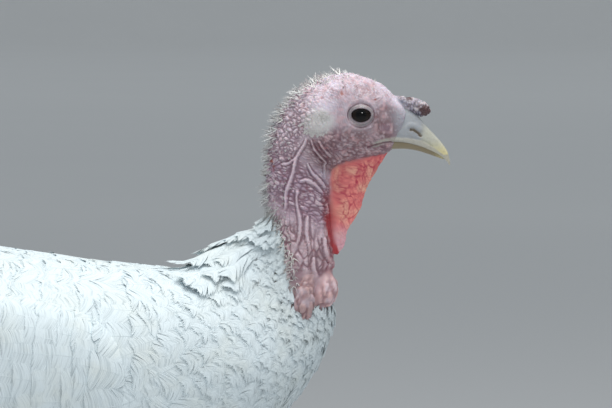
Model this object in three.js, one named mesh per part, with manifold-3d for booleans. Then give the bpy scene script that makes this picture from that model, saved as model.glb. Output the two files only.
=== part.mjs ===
// A life-size white domestic turkey hen, standing with her neck raised and her head level.
// The model is still. Each named part of the body is one closed solid, and the parts meet with a
// thin gap. The solids reach to the tips of the feathers.
//
// Everything is drawn in millimetres from a point just under the middle between the eyes: +X ahead,
// +Y to the bird's left, +Z up. The finished group is then lifted onto the floor, with its origin
// under the middle of its box.
import * as THREE from "three";
import { mergeVertices } from "three/addons/utils/BufferGeometryUtils.js";
import Module from "manifold-3d";

const wasm = await Module();
wasm.setup();

// ---------------------------------------------------------------- driving dimensions
const HEIGHT = 495; // of the point that all is drawn from, above the floor
const FLOOR = -HEIGHT;
const GAP = 0.5; // room that a cut part leaves round its neighbour

const EYE = { radius: 8.6, aside: 11.4, up: 1.4 }; // aside and up: where its middle is

// The body is one form from bill to rump, parted at these stations with a thin cut.
const NECK_STARTS = 7.4;
const NECK_HALVES = 10.6;
const TRUNK_STARTS = 13.2;
const CUT = 0.03; // half a cut's width, in stations

// Along the body, above the floor and to the side.
const HOCK = { x: -284, z: 128, aside: 58 };
const KNEE = { x: -216, z: 262, aside: 52 };
const FOOT = { x: -254, aside: 62, stagger: 9 }; // stagger: how far one foot is ahead of the mean
const SHANK_RADIUS = 6.2;
const TOE_RADIUS = 5.2;
const PAD = { ahead: 4, half: [11, 9, 6] }; // the sole's cushion, under the toes' roots

const TAIL_ROOT = { x: -428, z: -124 };
const TAIL_TIP = { x: -688, z: -192 };
const TAIL_DROOP = 0.16; // how far the tail's edges hang, for each millimetre aside

// Exponents that make a section blunter than an ellipse.
const BILL_BLUNT = 0.85;
const FEATHERS_BLUNT = 0.8;

const SIDES = { right: -1, left: 1 };

// Stations along the body, from the bill to the rump. Each is a flat section across it: back and
// breast are where the section meets the outline, [x, z]; half is half its width; wide is how far
// from back to breast it is widest; square is the exponent of its curve.
const HEAD = [
  { back: [29, 3], breast: [25, -12], half: 5.2, wide: 0.5, square: 2.2 },
  { back: [23.5, 9.8], breast: [18, -22], half: 11.5, wide: 0.58, square: 2.3 },
  { back: [13.5, 19.4], breast: [9, -24.5], half: 16, wide: 0.55, square: 2.3 },
  { back: [-1, 25.5], breast: [-2, -26.5], half: 18.4, wide: 0.52, square: 2.3 },
  { back: [-14, 26.3], breast: [-9, -28.5], half: 19.6, wide: 0.5, square: 2.2 },
  { back: [-29, 22], breast: [-14, -30.5], half: 19.6, wide: 0.48, square: 2.2 },
  { back: [-42, 14], breast: [-17.5, -32.5], half: 18.6, wide: 0.48, square: 2.2 },
  { back: [-51, 3], breast: [-19, -35.5], half: 17.6, wide: 0.48, square: 2.2 },
];
const NECK = [
  { back: [-56.5, -10], breast: [-19.5, -41], half: 17, wide: 0.48, square: 2.2 },
  { back: [-59.5, -25], breast: [-19.5, -49], half: 16.8, wide: 0.48, square: 2.2 },
  { back: [-60.5, -40], breast: [-19.5, -59], half: 17, wide: 0.48, square: 2.2 },
  { back: [-60, -53], breast: [-19, -72], half: 18, wide: 0.5, square: 2.2 },
  { back: [-59.5, -63], breast: [-17.5, -88], half: 18.2, wide: 0.5, square: 2.2 },
  { back: [-66, -71.5], breast: [-19, -103], half: 18.6, wide: 0.46, square: 2.1 },
];
const TRUNK = [
  { back: [-79, -78], breast: [-17, -118], half: 21, wide: 0.38, square: 1.9 },
  { back: [-94, -86.5], breast: [-18.5, -134], half: 29, wide: 0.39, square: 2 },
  { back: [-111, -95.5], breast: [-27, -155], half: 45, wide: 0.44, square: 2.15 },
  { back: [-133, -94.5], breast: [-44, -182], half: 63, wide: 0.48, square: 2.25 },
  { back: [-163, -91.5], breast: [-76, -217], half: 77, wide: 0.5, square: 2.3 },
  { back: [-204, -86], breast: [-128, -252], half: 86, wide: 0.48, square: 2.3 },
  { back: [-250, -80], breast: [-190, -267], half: 90, wide: 0.47, square: 2.3 },
  { back: [-301, -78], breast: [-258, -262], half: 87, wide: 0.46, square: 2.25 },
  { back: [-350, -84], breast: [-322, -238], half: 76, wide: 0.46, square: 2.2 },
  { back: [-394, -96], breast: [-374, -204], half: 58, wide: 0.47, square: 2.1 },
  { back: [-428, -109], breast: [-414, -172], half: 39, wide: 0.5, square: 2 },
  { back: [-452, -122], breast: [-446, -146], half: 20, wide: 0.5, square: 2 },
];

// Stations along the bill: its outer ridge and its cutting edge, [x, z], and half its width.
const UPPER_BILL = [
  { ridge: [17, 9], edge: [9, -15.5], half: 9.6 },
  { ridge: [27, 6.5], edge: [19, -15.6], half: 9.4 },
  { ridge: [35, 0.8], edge: [26.5, -16.1], half: 8.4 },
  { ridge: [40.5, -5.6], edge: [33, -17.4], half: 7 },
  { ridge: [46, -11.4], edge: [39.5, -19.6], half: 5.6 },
  { ridge: [51, -17], edge: [45.5, -22.3], half: 4 },
  { ridge: [54.3, -22.2], edge: [50.2, -25], half: 2.5 },
  { ridge: [56, -28], edge: [54.4, -28.8], half: 1 },
  { ridge: [56.2, -30.8], edge: [55.6, -31], half: 0.4 },
];
const LOWER_BILL = [
  { ridge: [8, -21.6], edge: [8, -16.2], half: 8.4 },
  { ridge: [19, -21], edge: [19, -16.2], half: 7.9 },
  { ridge: [27.6, -20.7], edge: [28, -17], half: 6.7 },
  { ridge: [35, -21.9], edge: [36, -19.3], half: 5.2 },
  { ridge: [41.7, -24], edge: [43, -22.6], half: 3.5 },
  { ridge: [48.4, -26.4], edge: [49, -25.8], half: 1.4 },
];

// The wattle is a thin fold of skin under the throat. Its outline is [x, z].
const WATTLE_EDGE = [
  [19, -20.5],
  [10.5, -33],
  [3.5, -46],
  [-1, -60],
  [-8.5, -71.5],
  [-10.5, -81],
  [-15.5, -88.5],
  [-24, -84],
  [-30, -60],
  [-28, -38],
  [-14, -22],
];
const WATTLE_THICK = 3.4; // its flat middle, without the rounding of its rim
const WATTLE_ROUNDING = 1.6;

// Limbs are curves through [x, y, z, radius].
const SNOOD = [
  [14, 0, 9.5, 4.8],
  [24, 0, 8, 4.4],
  [30.5, 0, 7, 4.8],
  [36.5, 0.6, 5.2, 4.9],
  [41, 1, 3.1, 4.4],
  [43.8, 1.2, 2, 2.6],
];
// A pad of short feathers over each ear: its middle [x, aside, z] and half its size the same ways.
const EAR = { middle: [-24.8, 17.4, -3.8], half: [10, 4.6, 7.8] };
const CARUNCLES = {
  caruncle_right: [[-33, -14, -103, 4], [-35.5, -19, -112, 5.8], [-36, -21.5, -121, 5.4]],
  caruncle_left: [[-33, 14, -102, 4], [-35.5, 19, -110, 5.8], [-36, 21.5, -118, 5.4]],
  caruncle_middle: [[-24.5, -3, -96, 5], [-23.6, -5.5, -106, 7.8], [-24, -6.5, -114, 6.8]],
};

// Stations along a folded wing: its section's middle [x, z], half its height, how far out it
// reaches and half its thickness.
const WING = [
  { x: -128, z: -166, high: 8, out: 74, thick: 10 },
  { x: -142, z: -166, high: 30, out: 86, thick: 20 },
  { x: -170, z: -164, high: 47, out: 95, thick: 26 },
  { x: -210, z: -162, high: 56, out: 101, thick: 28 },
  { x: -260, z: -160, high: 59, out: 103, thick: 28 },
  { x: -310, z: -158, high: 56, out: 99, thick: 26 },
  { x: -360, z: -155, high: 48, out: 89, thick: 20 },
  { x: -405, z: -151, high: 37, out: 75, thick: 14 },
  { x: -450, z: -148, high: 26, out: 62, thick: 9 },
  { x: -490, z: -148, high: 16, out: 52, thick: 5.5 },
  { x: -522, z: -151, high: 6, out: 45, thick: 2.5 },
];

// Stations along the folded tail, from its root (0) to its tip (1).
const TAIL = [
  { along: -0.05, half: 28, thick: 17 },
  { along: 0.15, half: 42, thick: 22 },
  { along: 0.35, half: 48, thick: 17 },
  { along: 0.55, half: 54, thick: 10 },
  { along: 0.75, half: 61, thick: 5.5 },
  { along: 0.9, half: 65, thick: 3.6 },
  { along: 0.97, half: 55, thick: 2.8 },
  { along: 1, half: 30, thick: 2 },
];

// Toes by the angle at which they point out from straight ahead, and their length with the claw's.
const TOES = {
  inner: { angle: -30, long: 54, claw: 14 },
  middle: { angle: 3, long: 74, claw: 15 },
  outer: { angle: 34, long: 57, claw: 13 },
  hind: { angle: 168, long: 25, claw: 11 },
};

// ---------------------------------------------------------------- materials
const finish = (color, roughness) => new THREE.MeshStandardMaterial({ color, roughness, metalness: 0 });
const FEATHER = finish(0xf1f2ee, 0.85);
const HEAD_SKIN = finish(0xc9a3ab, 0.55);
const WATTLE_SKIN = finish(0xd4595c, 0.5);
const SNOOD_SKIN = finish(0x9a8590, 0.6);
const EAR_TUFT = finish(0xd9d6cc, 0.85);
const HORN = finish(0xcfc9a6, 0.4);
const EYE_DARK = finish(0x17110f, 0.08);
const LEG_SKIN = finish(0xd3a596, 0.5);
const CLAW = finish(0xb9a78d, 0.4);

// ---------------------------------------------------------------- helpers
const { lerp, clamp, degToRad } = THREE.MathUtils;
const evenly = (count, from, to) => Array.from({ length: count }, (_, i) => lerp(from, to, i / (count - 1)));
const round = (sides) => Array.from({ length: sides }, (_, s) => (2 * Math.PI * s) / sides);
const signedPower = (value, power) => Math.sign(value) * Math.abs(value) ** power;

// A smooth curve through rows of numbers, read at row u.
function between(rows, u) {
  const i = clamp(Math.floor(u), 0, rows.length - 2);
  const t = u - i;
  const row = (k) => rows[clamp(k, 0, rows.length - 1)];
  return row(i).map((b, c) => {
    const [a, d, e] = [row(i - 1)[c], row(i + 1)[c], row(i + 2)[c]];
    const [slope, bend, twist] = [d - a, 2 * a - 5 * b + 4 * d - e, 3 * b - a - 3 * d + e];
    return b + 0.5 * (slope * t + bend * t * t + twist * t ** 3);
  });
}

// A closed geometry skinned over rings of points, each ring with the same count.
function skinned(rings) {
  const sides = rings[0].length;
  const middle = (ring) => ring.reduce((sum, p) => sum.add(p), new THREE.Vector3()).divideScalar(sides);
  const points = [...rings.flat(), middle(rings[0]), middle(rings.at(-1))];
  const [front, rear] = [points.length - 2, points.length - 1];
  const end = (rings.length - 1) * sides;
  const faces = [];
  for (let s = 0; s < sides; s++) {
    const next = (s + 1) % sides;
    faces.push(front, next, s, rear, end + s, end + next);
    for (let r = 0; r < end; r += sides) {
      faces.push(r + s, r + next, r + next + sides, r + s, r + next + sides, r + s + sides);
    }
  }
  return new THREE.BufferGeometry().setFromPoints(points).setIndex(faces);
}

// A geometry as a manifold-3d solid, with its faces pointing out.
function solid(geometry) {
  const bare = new THREE.BufferGeometry();
  bare.setAttribute("position", geometry.getAttribute("position"));
  bare.setIndex(geometry.index);
  const merged = mergeVertices(bare, 1e-3);
  const faces = [];
  for (let i = 0; i < merged.index.count; i += 3) {
    const [a, b, c] = merged.index.array.slice(i, i + 3);
    if (a !== b && b !== c && c !== a) faces.push(a, b, c);
  }
  const vertProperties = merged.attributes.position.array;
  const build = (order) =>
    new wasm.Manifold(new wasm.Mesh({ numProp: 3, vertProperties, triVerts: new Uint32Array(order) }));
  const made = build(faces);
  return made.volume() > 0 ? made : build(faces.reverse());
}

// A solid's largest piece, as a geometry.
function geometryOf(manifold) {
  const [largest] = manifold.decompose().sort((a, b) => b.volume() - a.volume());
  const { vertProperties, triVerts } = largest.getMesh();
  const made = new THREE.BufferGeometry();
  made.setAttribute("position", new THREE.BufferAttribute(vertProperties, 3));
  return made.setIndex(new THREE.BufferAttribute(triVerts, 1));
}

// A small solid moved out by the gap along its own normals.
function grown(manifold) {
  const shape = geometryOf(manifold);
  shape.computeVertexNormals();
  const [at, normal] = [shape.getAttribute("position"), shape.getAttribute("normal")];
  for (let i = 0; i < at.count; i++) {
    for (let c = 0; c < 3; c++) at.setComponent(i, c, at.getComponent(i, c) + GAP * normal.getComponent(i, c));
  }
  return solid(shape);
}

const joined = (solids) => solids.reduce((whole, next) => whole.add(next));

// ---------------------------------------------------------------- head, neck and trunk
const STATIONS = [...HEAD, ...NECK, ...TRUNK].map((s) => [...s.back, ...s.breast, s.half, s.wide, s.square]);
const RUMP = STATIONS.length - 1;

// A point of the body at station u, turned from the back (0) to the breast (PI), with its section
// grown by lift on every side.
function bodyPoint(u, turn, lift) {
  const [backX, backZ, breastX, breastZ, half, wide, square] = between(STATIONS, u);
  const depth = Math.hypot(breastX - backX, breastZ - backZ);
  const along = signedPower(Math.cos(turn), 2 / square);
  const across = signedPower(Math.sin(turn), 2 / square);
  const share = wide - along * ((along > 0 ? wide : 1 - wide) + lift / depth);
  return new THREE.Vector3(lerp(backX, breastX, share), across * (half + lift), lerp(backZ, breastZ, share));
}

// A closed length of the body between two stations.
function bodyLength(from, to, { rings, sides = 24 }, lift) {
  const ring = (u) => round(sides).map((turn) => bodyPoint(u, turn, lift));
  return solid(skinned(evenly(rings, from, to).map(ring)));
}

// ---------------------------------------------------------------- bill
// Half of the bill: its sections are arches, round at the ridge and flat where the halves meet. It
// can be grown by lift at its ridge and its sides.
function billHalf(stations, { rings, arch }, lift = 0) {
  const rows = stations.map((s) => [...s.ridge, ...s.edge, s.half]);
  const ring = (u) => {
    const [ridgeX, ridgeZ, edgeX, edgeZ, half] = between(rows, u);
    return evenly(arch, -Math.PI / 2, Math.PI / 2).map((turn) => {
      const share = 1 - Math.cos(turn);
      const y = (half + lift) * signedPower(Math.sin(turn), BILL_BLUNT);
      return new THREE.Vector3(lerp(ridgeX + lift / 2, edgeX, share), y, lerp(ridgeZ + lift, edgeZ, share));
    });
  };
  return solid(skinned(evenly(rings, 0, rows.length - 1).map(ring)));
}

// ---------------------------------------------------------------- limbs
// A tapering limb along a smooth curve. It is flat times as wide as it is deep, and its first and
// last rings are tip times their full size.
function limb(points, { rings, sides, flat = 1, tip }) {
  const path = new THREE.CatmullRomCurve3(points.map(([x, y, z]) => new THREE.Vector3(x, y, z)));
  const radii = points.map((p) => [p[3]]);
  const aside = new THREE.Vector3(0, 1, 0);
  const ring = (t, share) => {
    const ahead = path.getTangent(t);
    const side = aside.clone().addScaledVector(ahead, -aside.dot(ahead)).normalize();
    const up = new THREE.Vector3().crossVectors(ahead, side);
    const radius = between(radii, t * (points.length - 1))[0] * share;
    const onRing = (turn) => {
      const p = path.getPoint(t).addScaledVector(side, Math.cos(turn) * radius * flat);
      return p.addScaledVector(up, Math.sin(turn) * radius);
    };
    return round(sides).map(onRing);
  };
  return solid(skinned(evenly(rings, 0, 1).map((t, i) => ring(t, i % (rings - 1) ? 1 : tip))));
}

// ---------------------------------------------------------------- wattle, wings and tail
function wattle() {
  const edge = new THREE.SplineCurve(WATTLE_EDGE.map(([x, z]) => new THREE.Vector2(x, z)));
  const plate = new THREE.ExtrudeGeometry(new THREE.Shape(edge.getPoints(22)), {
    depth: WATTLE_THICK,
    bevelThickness: WATTLE_ROUNDING,
    bevelSize: WATTLE_ROUNDING,
    bevelOffset: -WATTLE_ROUNDING,
    bevelSegments: 1,
  });
  return plate.rotateX(Math.PI / 2).translate(0, WATTLE_THICK / 2, 0);
}

// A closed form skinned over rows of numbers: place turns a row and a turn into a point.
function shell(rows, { rings, sides }, place) {
  const ring = (u) => round(sides).map((turn) => place(between(rows, u), turn));
  return solid(skinned(evenly(rings, 0, rows.length - 1).map(ring)));
}

// Each of the next forms can be grown by lift on every side, to cut its neighbours with a gap.
function wing(side, lift = 0) {
  const rows = WING.map((s) => [s.x, s.z, s.high, s.out, s.thick]);
  return shell(rows, { rings: 14, sides: 13 }, ([x, z, high, out, thick], turn) => {
    const y = out - thick + (thick + lift) * signedPower(Math.cos(turn), FEATHERS_BLUNT);
    return new THREE.Vector3(x, side * y, z + (high + lift) * Math.sin(turn));
  });
}

function tail(lift = 0) {
  const rows = TAIL.map((s) => [s.along, s.half, s.thick]);
  return shell(rows, { rings: 12, sides: 16 }, ([along, half, thick], turn) => {
    const x = lerp(TAIL_ROOT.x, TAIL_TIP.x, along);
    const y = (half + lift) * Math.cos(turn);
    const rise = (thick + lift) * signedPower(Math.sin(turn), FEATHERS_BLUNT);
    return new THREE.Vector3(x, y, lerp(TAIL_ROOT.z, TAIL_TIP.z, along) + rise - TAIL_DROOP * Math.abs(y));
  });
}

// ---------------------------------------------------------------- legs
const footX = (side) => FOOT.x - side * FOOT.stagger;

function thigh(side, lift = 0) {
  const at = (x, aside, z, radius) => [x, side * aside, FLOOR + z, radius + lift];
  const points = [
    at(KNEE.x + 12, KNEE.aside - 10, KNEE.z + 32, 40),
    at(KNEE.x - 8, KNEE.aside, KNEE.z - 15, 40),
    at(KNEE.x - 38, KNEE.aside + 2, KNEE.z - 65, 27),
    at(HOCK.x + 8, HOCK.aside, HOCK.z + 28, 13),
    at(HOCK.x + 2, HOCK.aside, HOCK.z + 9 - 2 * lift, 9),
  ];
  return limb(points, { rings: 9, sides: 14, flat: 0.72, tip: 0.9 });
}

function shank(side, lift = 0) {
  const at = (share, height, radius) => [
    lerp(HOCK.x, footX(side), share),
    side * lerp(HOCK.aside, FOOT.aside, share),
    FLOOR + height,
    radius + lift,
  ];
  const points = [
    at(-0.1, HOCK.z + 16, SHANK_RADIUS),
    at(0, HOCK.z, SHANK_RADIUS + 2.6),
    at(0.3, HOCK.z * 0.72, SHANK_RADIUS),
    at(0.7, HOCK.z * 0.36, SHANK_RADIUS),
    at(1, TOE_RADIUS + 3.5, SHANK_RADIUS + 1.4),
  ];
  return limb(points, { rings: 7, sides: 10, flat: 0.85, tip: 0.8 });
}

// A toe's flesh, or its claw, along the way that it points.
function toe(side, { angle, long, claw }, isClaw) {
  const turn = degToRad(angle);
  const thick = TOE_RADIUS * (long < 40 ? 0.8 : 1);
  const at = (far, up, radius) => [
    footX(side) + Math.cos(turn) * far,
    side * (FOOT.aside + Math.sin(turn) * far),
    FLOOR + up,
    radius,
  ];
  const flesh = [
    at(-2, thick + 3, thick + 1),
    at(long * 0.25, thick + 1.5, thick),
    at(long * 0.5, thick - 0.8, thick),
    at(long * 0.8, thick - 1, thick * 0.9),
    at(long, thick - 1.2, thick * 0.75),
  ];
  const nail = [
    at(long - 3, thick - 0.2, thick * 0.55),
    at(long + claw * 0.45, thick + 0.2, thick * 0.45),
    at(long + claw, 1.6, 0.8),
  ];
  return isClaw
    ? limb(nail, { rings: 4, sides: 6, tip: 0.5 })
    : limb(flesh, { rings: 6, sides: 7, tip: 0.6 });
}

// The sole's cushion. It sinks a little below the floor, and is cut flat there with the toes.
const cushion = (side) =>
  solid(
    new THREE.SphereGeometry(1, 10, 6)
      .rotateX(Math.PI / 2)
      .scale(...PAD.half)
      .translate(footX(side) + PAD.ahead, side * FOOT.aside, FLOOR + 0.8 * PAD.half[2]),
  );

// ---------------------------------------------------------------- parting and naming
const bird = new THREE.Group();
function part(name, manifold, material) {
  const mesh = new THREE.Mesh(geometryOf(manifold), material);
  mesh.name = name;
  bird.add(mesh);
}

const head = (lift) => bodyLength(0, NECK_STARTS - CUT, { rings: 17 }, lift);
const neckUpper = (lift) => bodyLength(NECK_STARTS + CUT, NECK_HALVES - CUT, { rings: 6 }, lift);
const neckLower = (lift) => bodyLength(NECK_HALVES + CUT, TRUNK_STARTS - CUT, { rings: 6 }, lift);
const trunk = (lift) => bodyLength(TRUNK_STARTS + CUT, RUMP, { rings: 21 }, lift);
const eyeball = (side, radius) =>
  solid(new THREE.SphereGeometry(radius, 14, 8).rotateX(Math.PI / 2).translate(0, side * EYE.aside, EYE.up));

const sockets = Object.values(SIDES).map((side) => eyeball(side, EYE.radius + GAP));
part("head", head(0).subtract(joined(sockets)), HEAD_SKIN);
part("neck_upper", neckUpper(0), HEAD_SKIN);
part("neck_lower", neckLower(0), FEATHER);
part("trunk", trunk(0), FEATHER);
for (const [name, side] of Object.entries(SIDES)) part("eye_" + name, eyeball(side, EYE.radius), EYE_DARK);

// What is cut by the body is cut by a form grown by the gap.
const headRoom = joined([head(GAP), neckUpper(GAP), neckLower(GAP)]);
const trunkRoom = trunk(GAP);
const upperBill = (lift) => billHalf(UPPER_BILL, { rings: 14, arch: 9 }, lift);
part("bill_upper", upperBill(0).subtract(headRoom), HORN);
part("bill_lower", billHalf(LOWER_BILL, { rings: 10, arch: 7 }).subtract(headRoom), HORN);
const snood = limb(SNOOD, { rings: 9, sides: 10, tip: 0.4 });
part("snood", snood.subtract(headRoom).subtract(upperBill(GAP)), SNOOD_SKIN);
part("wattle", solid(wattle()).subtract(headRoom), WATTLE_SKIN);
for (const [name, points] of Object.entries(CARUNCLES)) {
  const lump = limb(points, { rings: 5, sides: 8, tip: 0.4 });
  part(name, lump.subtract(headRoom).subtract(trunkRoom), HEAD_SKIN);
}

const earPad = (side) => {
  const [x, aside, z] = EAR.middle;
  return solid(new THREE.SphereGeometry(1, 10, 8).scale(...EAR.half).translate(x, side * aside, z));
};
for (const [name, side] of Object.entries(SIDES)) part("ear_" + name, earPad(side).subtract(headRoom), EAR_TUFT);

part("tail", tail().subtract(trunkRoom), FEATHER);
const tailRoom = tail(GAP);
const underFloor = solid(new THREE.BoxGeometry(400, 400, 40).translate(FOOT.x, 0, FLOOR - 40 / 2));
for (const [name, side] of Object.entries(SIDES)) {
  part("wing_" + name, wing(side).subtract(trunkRoom).subtract(tailRoom), FEATHER);
  part("thigh_" + name, thigh(side).subtract(trunkRoom).subtract(wing(side, GAP)), FEATHER);
  part("shank_" + name, shank(side).subtract(thigh(side, GAP)), LEG_SKIN);
  const toes = Object.values(TOES).map((t) => toe(side, t, false));
  const foot = joined([cushion(side), ...toes]).subtract(underFloor);
  part("foot_" + name, foot.subtract(shank(side, GAP)), LEG_SKIN);
  for (const [which, shape] of Object.entries(TOES)) {
    part("claw_" + which + "_" + name, toe(side, shape, true).subtract(grown(foot)), CLAW);
  }
}

// The bird stands on the floor, with the origin under the middle of its box.
const box = new THREE.Box3().setFromObject(bird);
bird.position.set(-(box.min.x + box.max.x) / 2, 0, HEIGHT);
export default new THREE.Group().add(bird);
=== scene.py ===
# %% [markdown]
# # A white domestic turkey hen
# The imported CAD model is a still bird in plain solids, at life size. This lesson gives it a skin, a
# bill, eyes, claws and a coat of feathers, all as solid mesh in the same frame.
#
# The work goes from the inside out, as in nature: first the skin, then what is horn, then feathers.

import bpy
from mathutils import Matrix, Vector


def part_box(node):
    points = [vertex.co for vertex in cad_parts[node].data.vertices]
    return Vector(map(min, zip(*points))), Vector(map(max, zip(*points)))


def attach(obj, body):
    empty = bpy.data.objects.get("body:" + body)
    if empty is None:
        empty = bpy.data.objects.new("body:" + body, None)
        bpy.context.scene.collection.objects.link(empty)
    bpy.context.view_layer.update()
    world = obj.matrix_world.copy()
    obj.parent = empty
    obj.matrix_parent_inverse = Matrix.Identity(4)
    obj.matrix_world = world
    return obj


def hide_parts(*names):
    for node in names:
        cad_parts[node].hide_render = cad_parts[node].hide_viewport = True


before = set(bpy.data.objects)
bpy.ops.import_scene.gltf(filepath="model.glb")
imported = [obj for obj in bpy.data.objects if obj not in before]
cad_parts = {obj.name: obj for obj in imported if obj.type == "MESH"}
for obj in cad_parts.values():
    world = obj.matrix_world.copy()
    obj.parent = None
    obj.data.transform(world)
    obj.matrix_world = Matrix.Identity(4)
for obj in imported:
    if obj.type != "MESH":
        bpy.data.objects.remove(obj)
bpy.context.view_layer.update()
print("the frame holds", len(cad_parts), "solids")

# %% [markdown]
# ## Millimetres from the eyes
# A head is easiest to think about in millimetres from a point just under the middle between the
# eyes: +X ahead, +Y to the bird's left, +Z up. Blender wants metres in the frame of the CAD model.
# One small function turns the first into the second, so every table below stays readable. The
# place of that point is worked out from the eyes' solids, so it needs no second copy of a number.

# %% Find the drawing point
import math

import bpy
import numpy as np
from mathutils import Vector
from mathutils.bvhtree import BVHTree
from mathutils.kdtree import KDTree

MM = 0.001
EYE = {"radius": 8.6, "aside": 11.4, "up": 1.4}
corners = [corner for side in ("right", "left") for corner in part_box("eye_" + side)]
DRAWING_POINT = np.mean([list(corner) for corner in corners], axis=0) - (0, 0, EYE["up"] * MM)
FLOOR = -DRAWING_POINT[2] / MM
SIDES = {"right": -1, "left": 1}


def placed(points):
    """Millimetres from the drawing point, as metres in the frame."""
    return np.asarray(points) * MM + DRAWING_POINT


print("the drawing point is", DRAWING_POINT.round(4), "in the frame")

# %% [markdown]
# ## The camera
# The camera comes first, so that every later step can be judged through it. It looks at the bird's
# right side from two metres away and a little above the eye. A long lens keeps the near wing and
# the far one at almost the same scale, as in a portrait of a shy animal.

# %% Set up the camera
ELEVATION = math.radians(4)
DISTANCE = 2002
AIM = (-34.1, -55.2)  # from the eye to the middle of the view: along the view, and up it

forward = np.array([0, math.cos(ELEVATION), -math.sin(ELEVATION)])
upward = np.array([0, math.sin(ELEVATION), math.cos(ELEVATION)])
near_eye = np.array([0, -20, EYE["up"]])
aimed_at = near_eye + AIM[0] * np.array([1, 0, 0]) + AIM[1] * upward

camera = bpy.data.objects.new("camera", bpy.data.cameras.new("camera"))
bpy.context.scene.collection.objects.link(camera)
bpy.context.scene.camera = camera
camera.data.lens = 190
camera.data.sensor_width = 36
camera.data.clip_end = 100
camera.location = placed(aimed_at - DISTANCE * forward)
camera.rotation_euler = Vector(forward).to_track_quat("-Z", "Y").to_euler()
print("the view is", round(DISTANCE * 36 / 190), "mm wide at the bird")

# %% [markdown]
# ## Numbers over a surface
# Skin is never plain. Its bumps and colours come from three kinds of number that can be read at any
# point: a smooth ramp between two values, a soft random mottle, and pebbles, which give the distance
# to the nearest few of many scattered points. Blender's own noise textures do this in a material,
# but here the shape of the mesh needs them too, so they are written with numpy. A whole-number hash
# stands in for chance, so the bird comes out the same each time.

# %% Ramps, mottles and pebbles
def ramp(values, low, high):
    """0 below low, 1 above high and smooth between them. Low may be the larger."""
    share = np.clip((values - low) / (high - low), 0, 1)
    return share * share * (3 - 2 * share)


def bump(values, middle, reach):
    """1 at the middle, falling smoothly to 0 at reach on either side."""
    return 1 - ramp(np.abs(values - middle), 0, reach)


def hashed(cells, salt):
    """A repeatable number from 0 to 1 for each cell of whole numbers."""
    x, y, z = np.moveaxis(cells.astype(np.int64).astype(np.uint32), -1, 0)
    mixed = x * np.uint32(374761393) + y * np.uint32(668265263) + z * np.uint32(2246822519)
    mixed = mixed + np.uint32((salt * 2654435761) % 2**32)
    mixed = (mixed ^ (mixed >> np.uint32(13))) * np.uint32(1274126177)
    mixed = (mixed ^ (mixed >> np.uint32(15))) * np.uint32(2246822519)
    return (mixed ^ (mixed >> np.uint32(16))) / 2.0**32


def mottle(points, size, salt=0):
    """Soft random numbers from -1 to 1 that change over about the given size."""
    scaled = points / np.asarray(size, float)
    cell = np.floor(scaled)
    share = scaled - cell
    share = share * share * (3 - 2 * share)
    total = 0
    for corner in np.ndindex(2, 2, 2):
        weight = np.prod(np.where(corner, share, 1 - share), axis=-1)
        total = total + weight * hashed(cell + corner, salt)
    return 2 * total - 1


def pebbles(points, size, salt=0):
    """Distances to the nearest and the next of scattered points, in sizes, and the nearest's number."""
    scaled = points / np.asarray(size, float)
    cell = np.floor(scaled)
    nearest = np.full(len(points), 9.0)
    following = nearest.copy()
    number = nearest.copy()
    for step in np.ndindex(3, 3, 3):
        there = cell + step - 1
        seeds = [hashed(there, salt + k) for k in range(3)]
        distance = np.linalg.norm(there + np.stack(seeds, axis=-1) - scaled, axis=-1)
        closer = distance < nearest
        following = np.where(closer, nearest, np.minimum(following, distance))
        number = np.where(closer, seeds[0], number)
        nearest = np.where(closer, distance, nearest)
    return nearest, following, number


def along(rows, u):
    """A smooth curve through rows of numbers, read at the places u."""
    rows, u = np.asarray(rows, float), np.asarray(u, float)
    i = np.clip(np.floor(u).astype(int), 0, len(rows) - 2)
    t = (u - i)[..., None]
    a, b, d, e = [rows[np.clip(i + k, 0, len(rows) - 1)] for k in (-1, 0, 1, 2)]
    return b + 0.5 * ((d - a) * t + (2 * a - 5 * b + 4 * d - e) * t**2 + (3 * b - a - 3 * d + e) * t**3)


def power(values, exponent):
    """A power that keeps the sign."""
    return np.sign(values) * np.abs(values) ** exponent


def unit(vectors):
    """Vectors of length 1."""
    return vectors / np.maximum(np.linalg.norm(vectors, axis=-1, keepdims=True), 1e-9)


# %% [markdown]
# ## Forms
# A form here is only points and triangles in two arrays. Most forms are made by running a skin over
# rings, as a boat builder planks ribs. Blender's curves with a bevel could do it, but they can't give
# each ring its own outline. Forms stay in numpy while their surface is carved, which is fast.

# %% Make and measure forms
def planks(rows, columns, ring=True):
    """Triangles over a grid of points. The last column meets the first in a ring."""
    r, c = np.meshgrid(np.arange(rows - 1), np.arange(columns - (not ring)), indexing="ij")
    here, beside = r * columns + c, r * columns + (c + 1) % columns
    corners = [here, beside, beside + columns, here, beside + columns, here + columns]
    return np.stack(corners, axis=-1).reshape(-1, 3)


def capped(points, triangles, columns):
    """Closes both ends of a ringed grid with fans to their middles."""
    first = np.arange(columns)
    last = len(points) - columns + first
    middles = [points[first].mean(axis=0), points[last].mean(axis=0)]
    fans = [
        np.stack([np.full(columns, len(points)), np.roll(first, -1), first], axis=-1),
        np.stack([np.full(columns, len(points) + 1), last, np.roll(last, -1)], axis=-1),
    ]
    return np.vstack([points, middles]), np.vstack([triangles, *fans])


def normals(points, triangles):
    """The way out of the surface at each point."""
    a, b, c = [points[triangles[:, k]] for k in range(3)]
    faces = np.cross(b - a, c - a)
    total = np.zeros_like(points)
    for k in range(3):
        for axis in range(3):
            total[:, axis] += np.bincount(triangles[:, k], faces[:, axis], len(points))
    return unit(total)


def facing_out(points, triangles):
    """Turns the triangles of a closed form to face out."""
    a, b, c = [points[triangles[:, k]] for k in range(3)]
    volume = np.einsum("ij,ij->i", a, np.cross(b, c)).sum()
    return triangles if volume > 0 else triangles[:, ::-1]


def lofted(grid):
    """A closed form over a grid of rings, [ring, place on it, axis]."""
    rows, columns, _ = grid.shape
    points, triangles = capped(grid.reshape(-1, 3), planks(rows, columns), columns)
    return points, facing_out(points, triangles)


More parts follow.
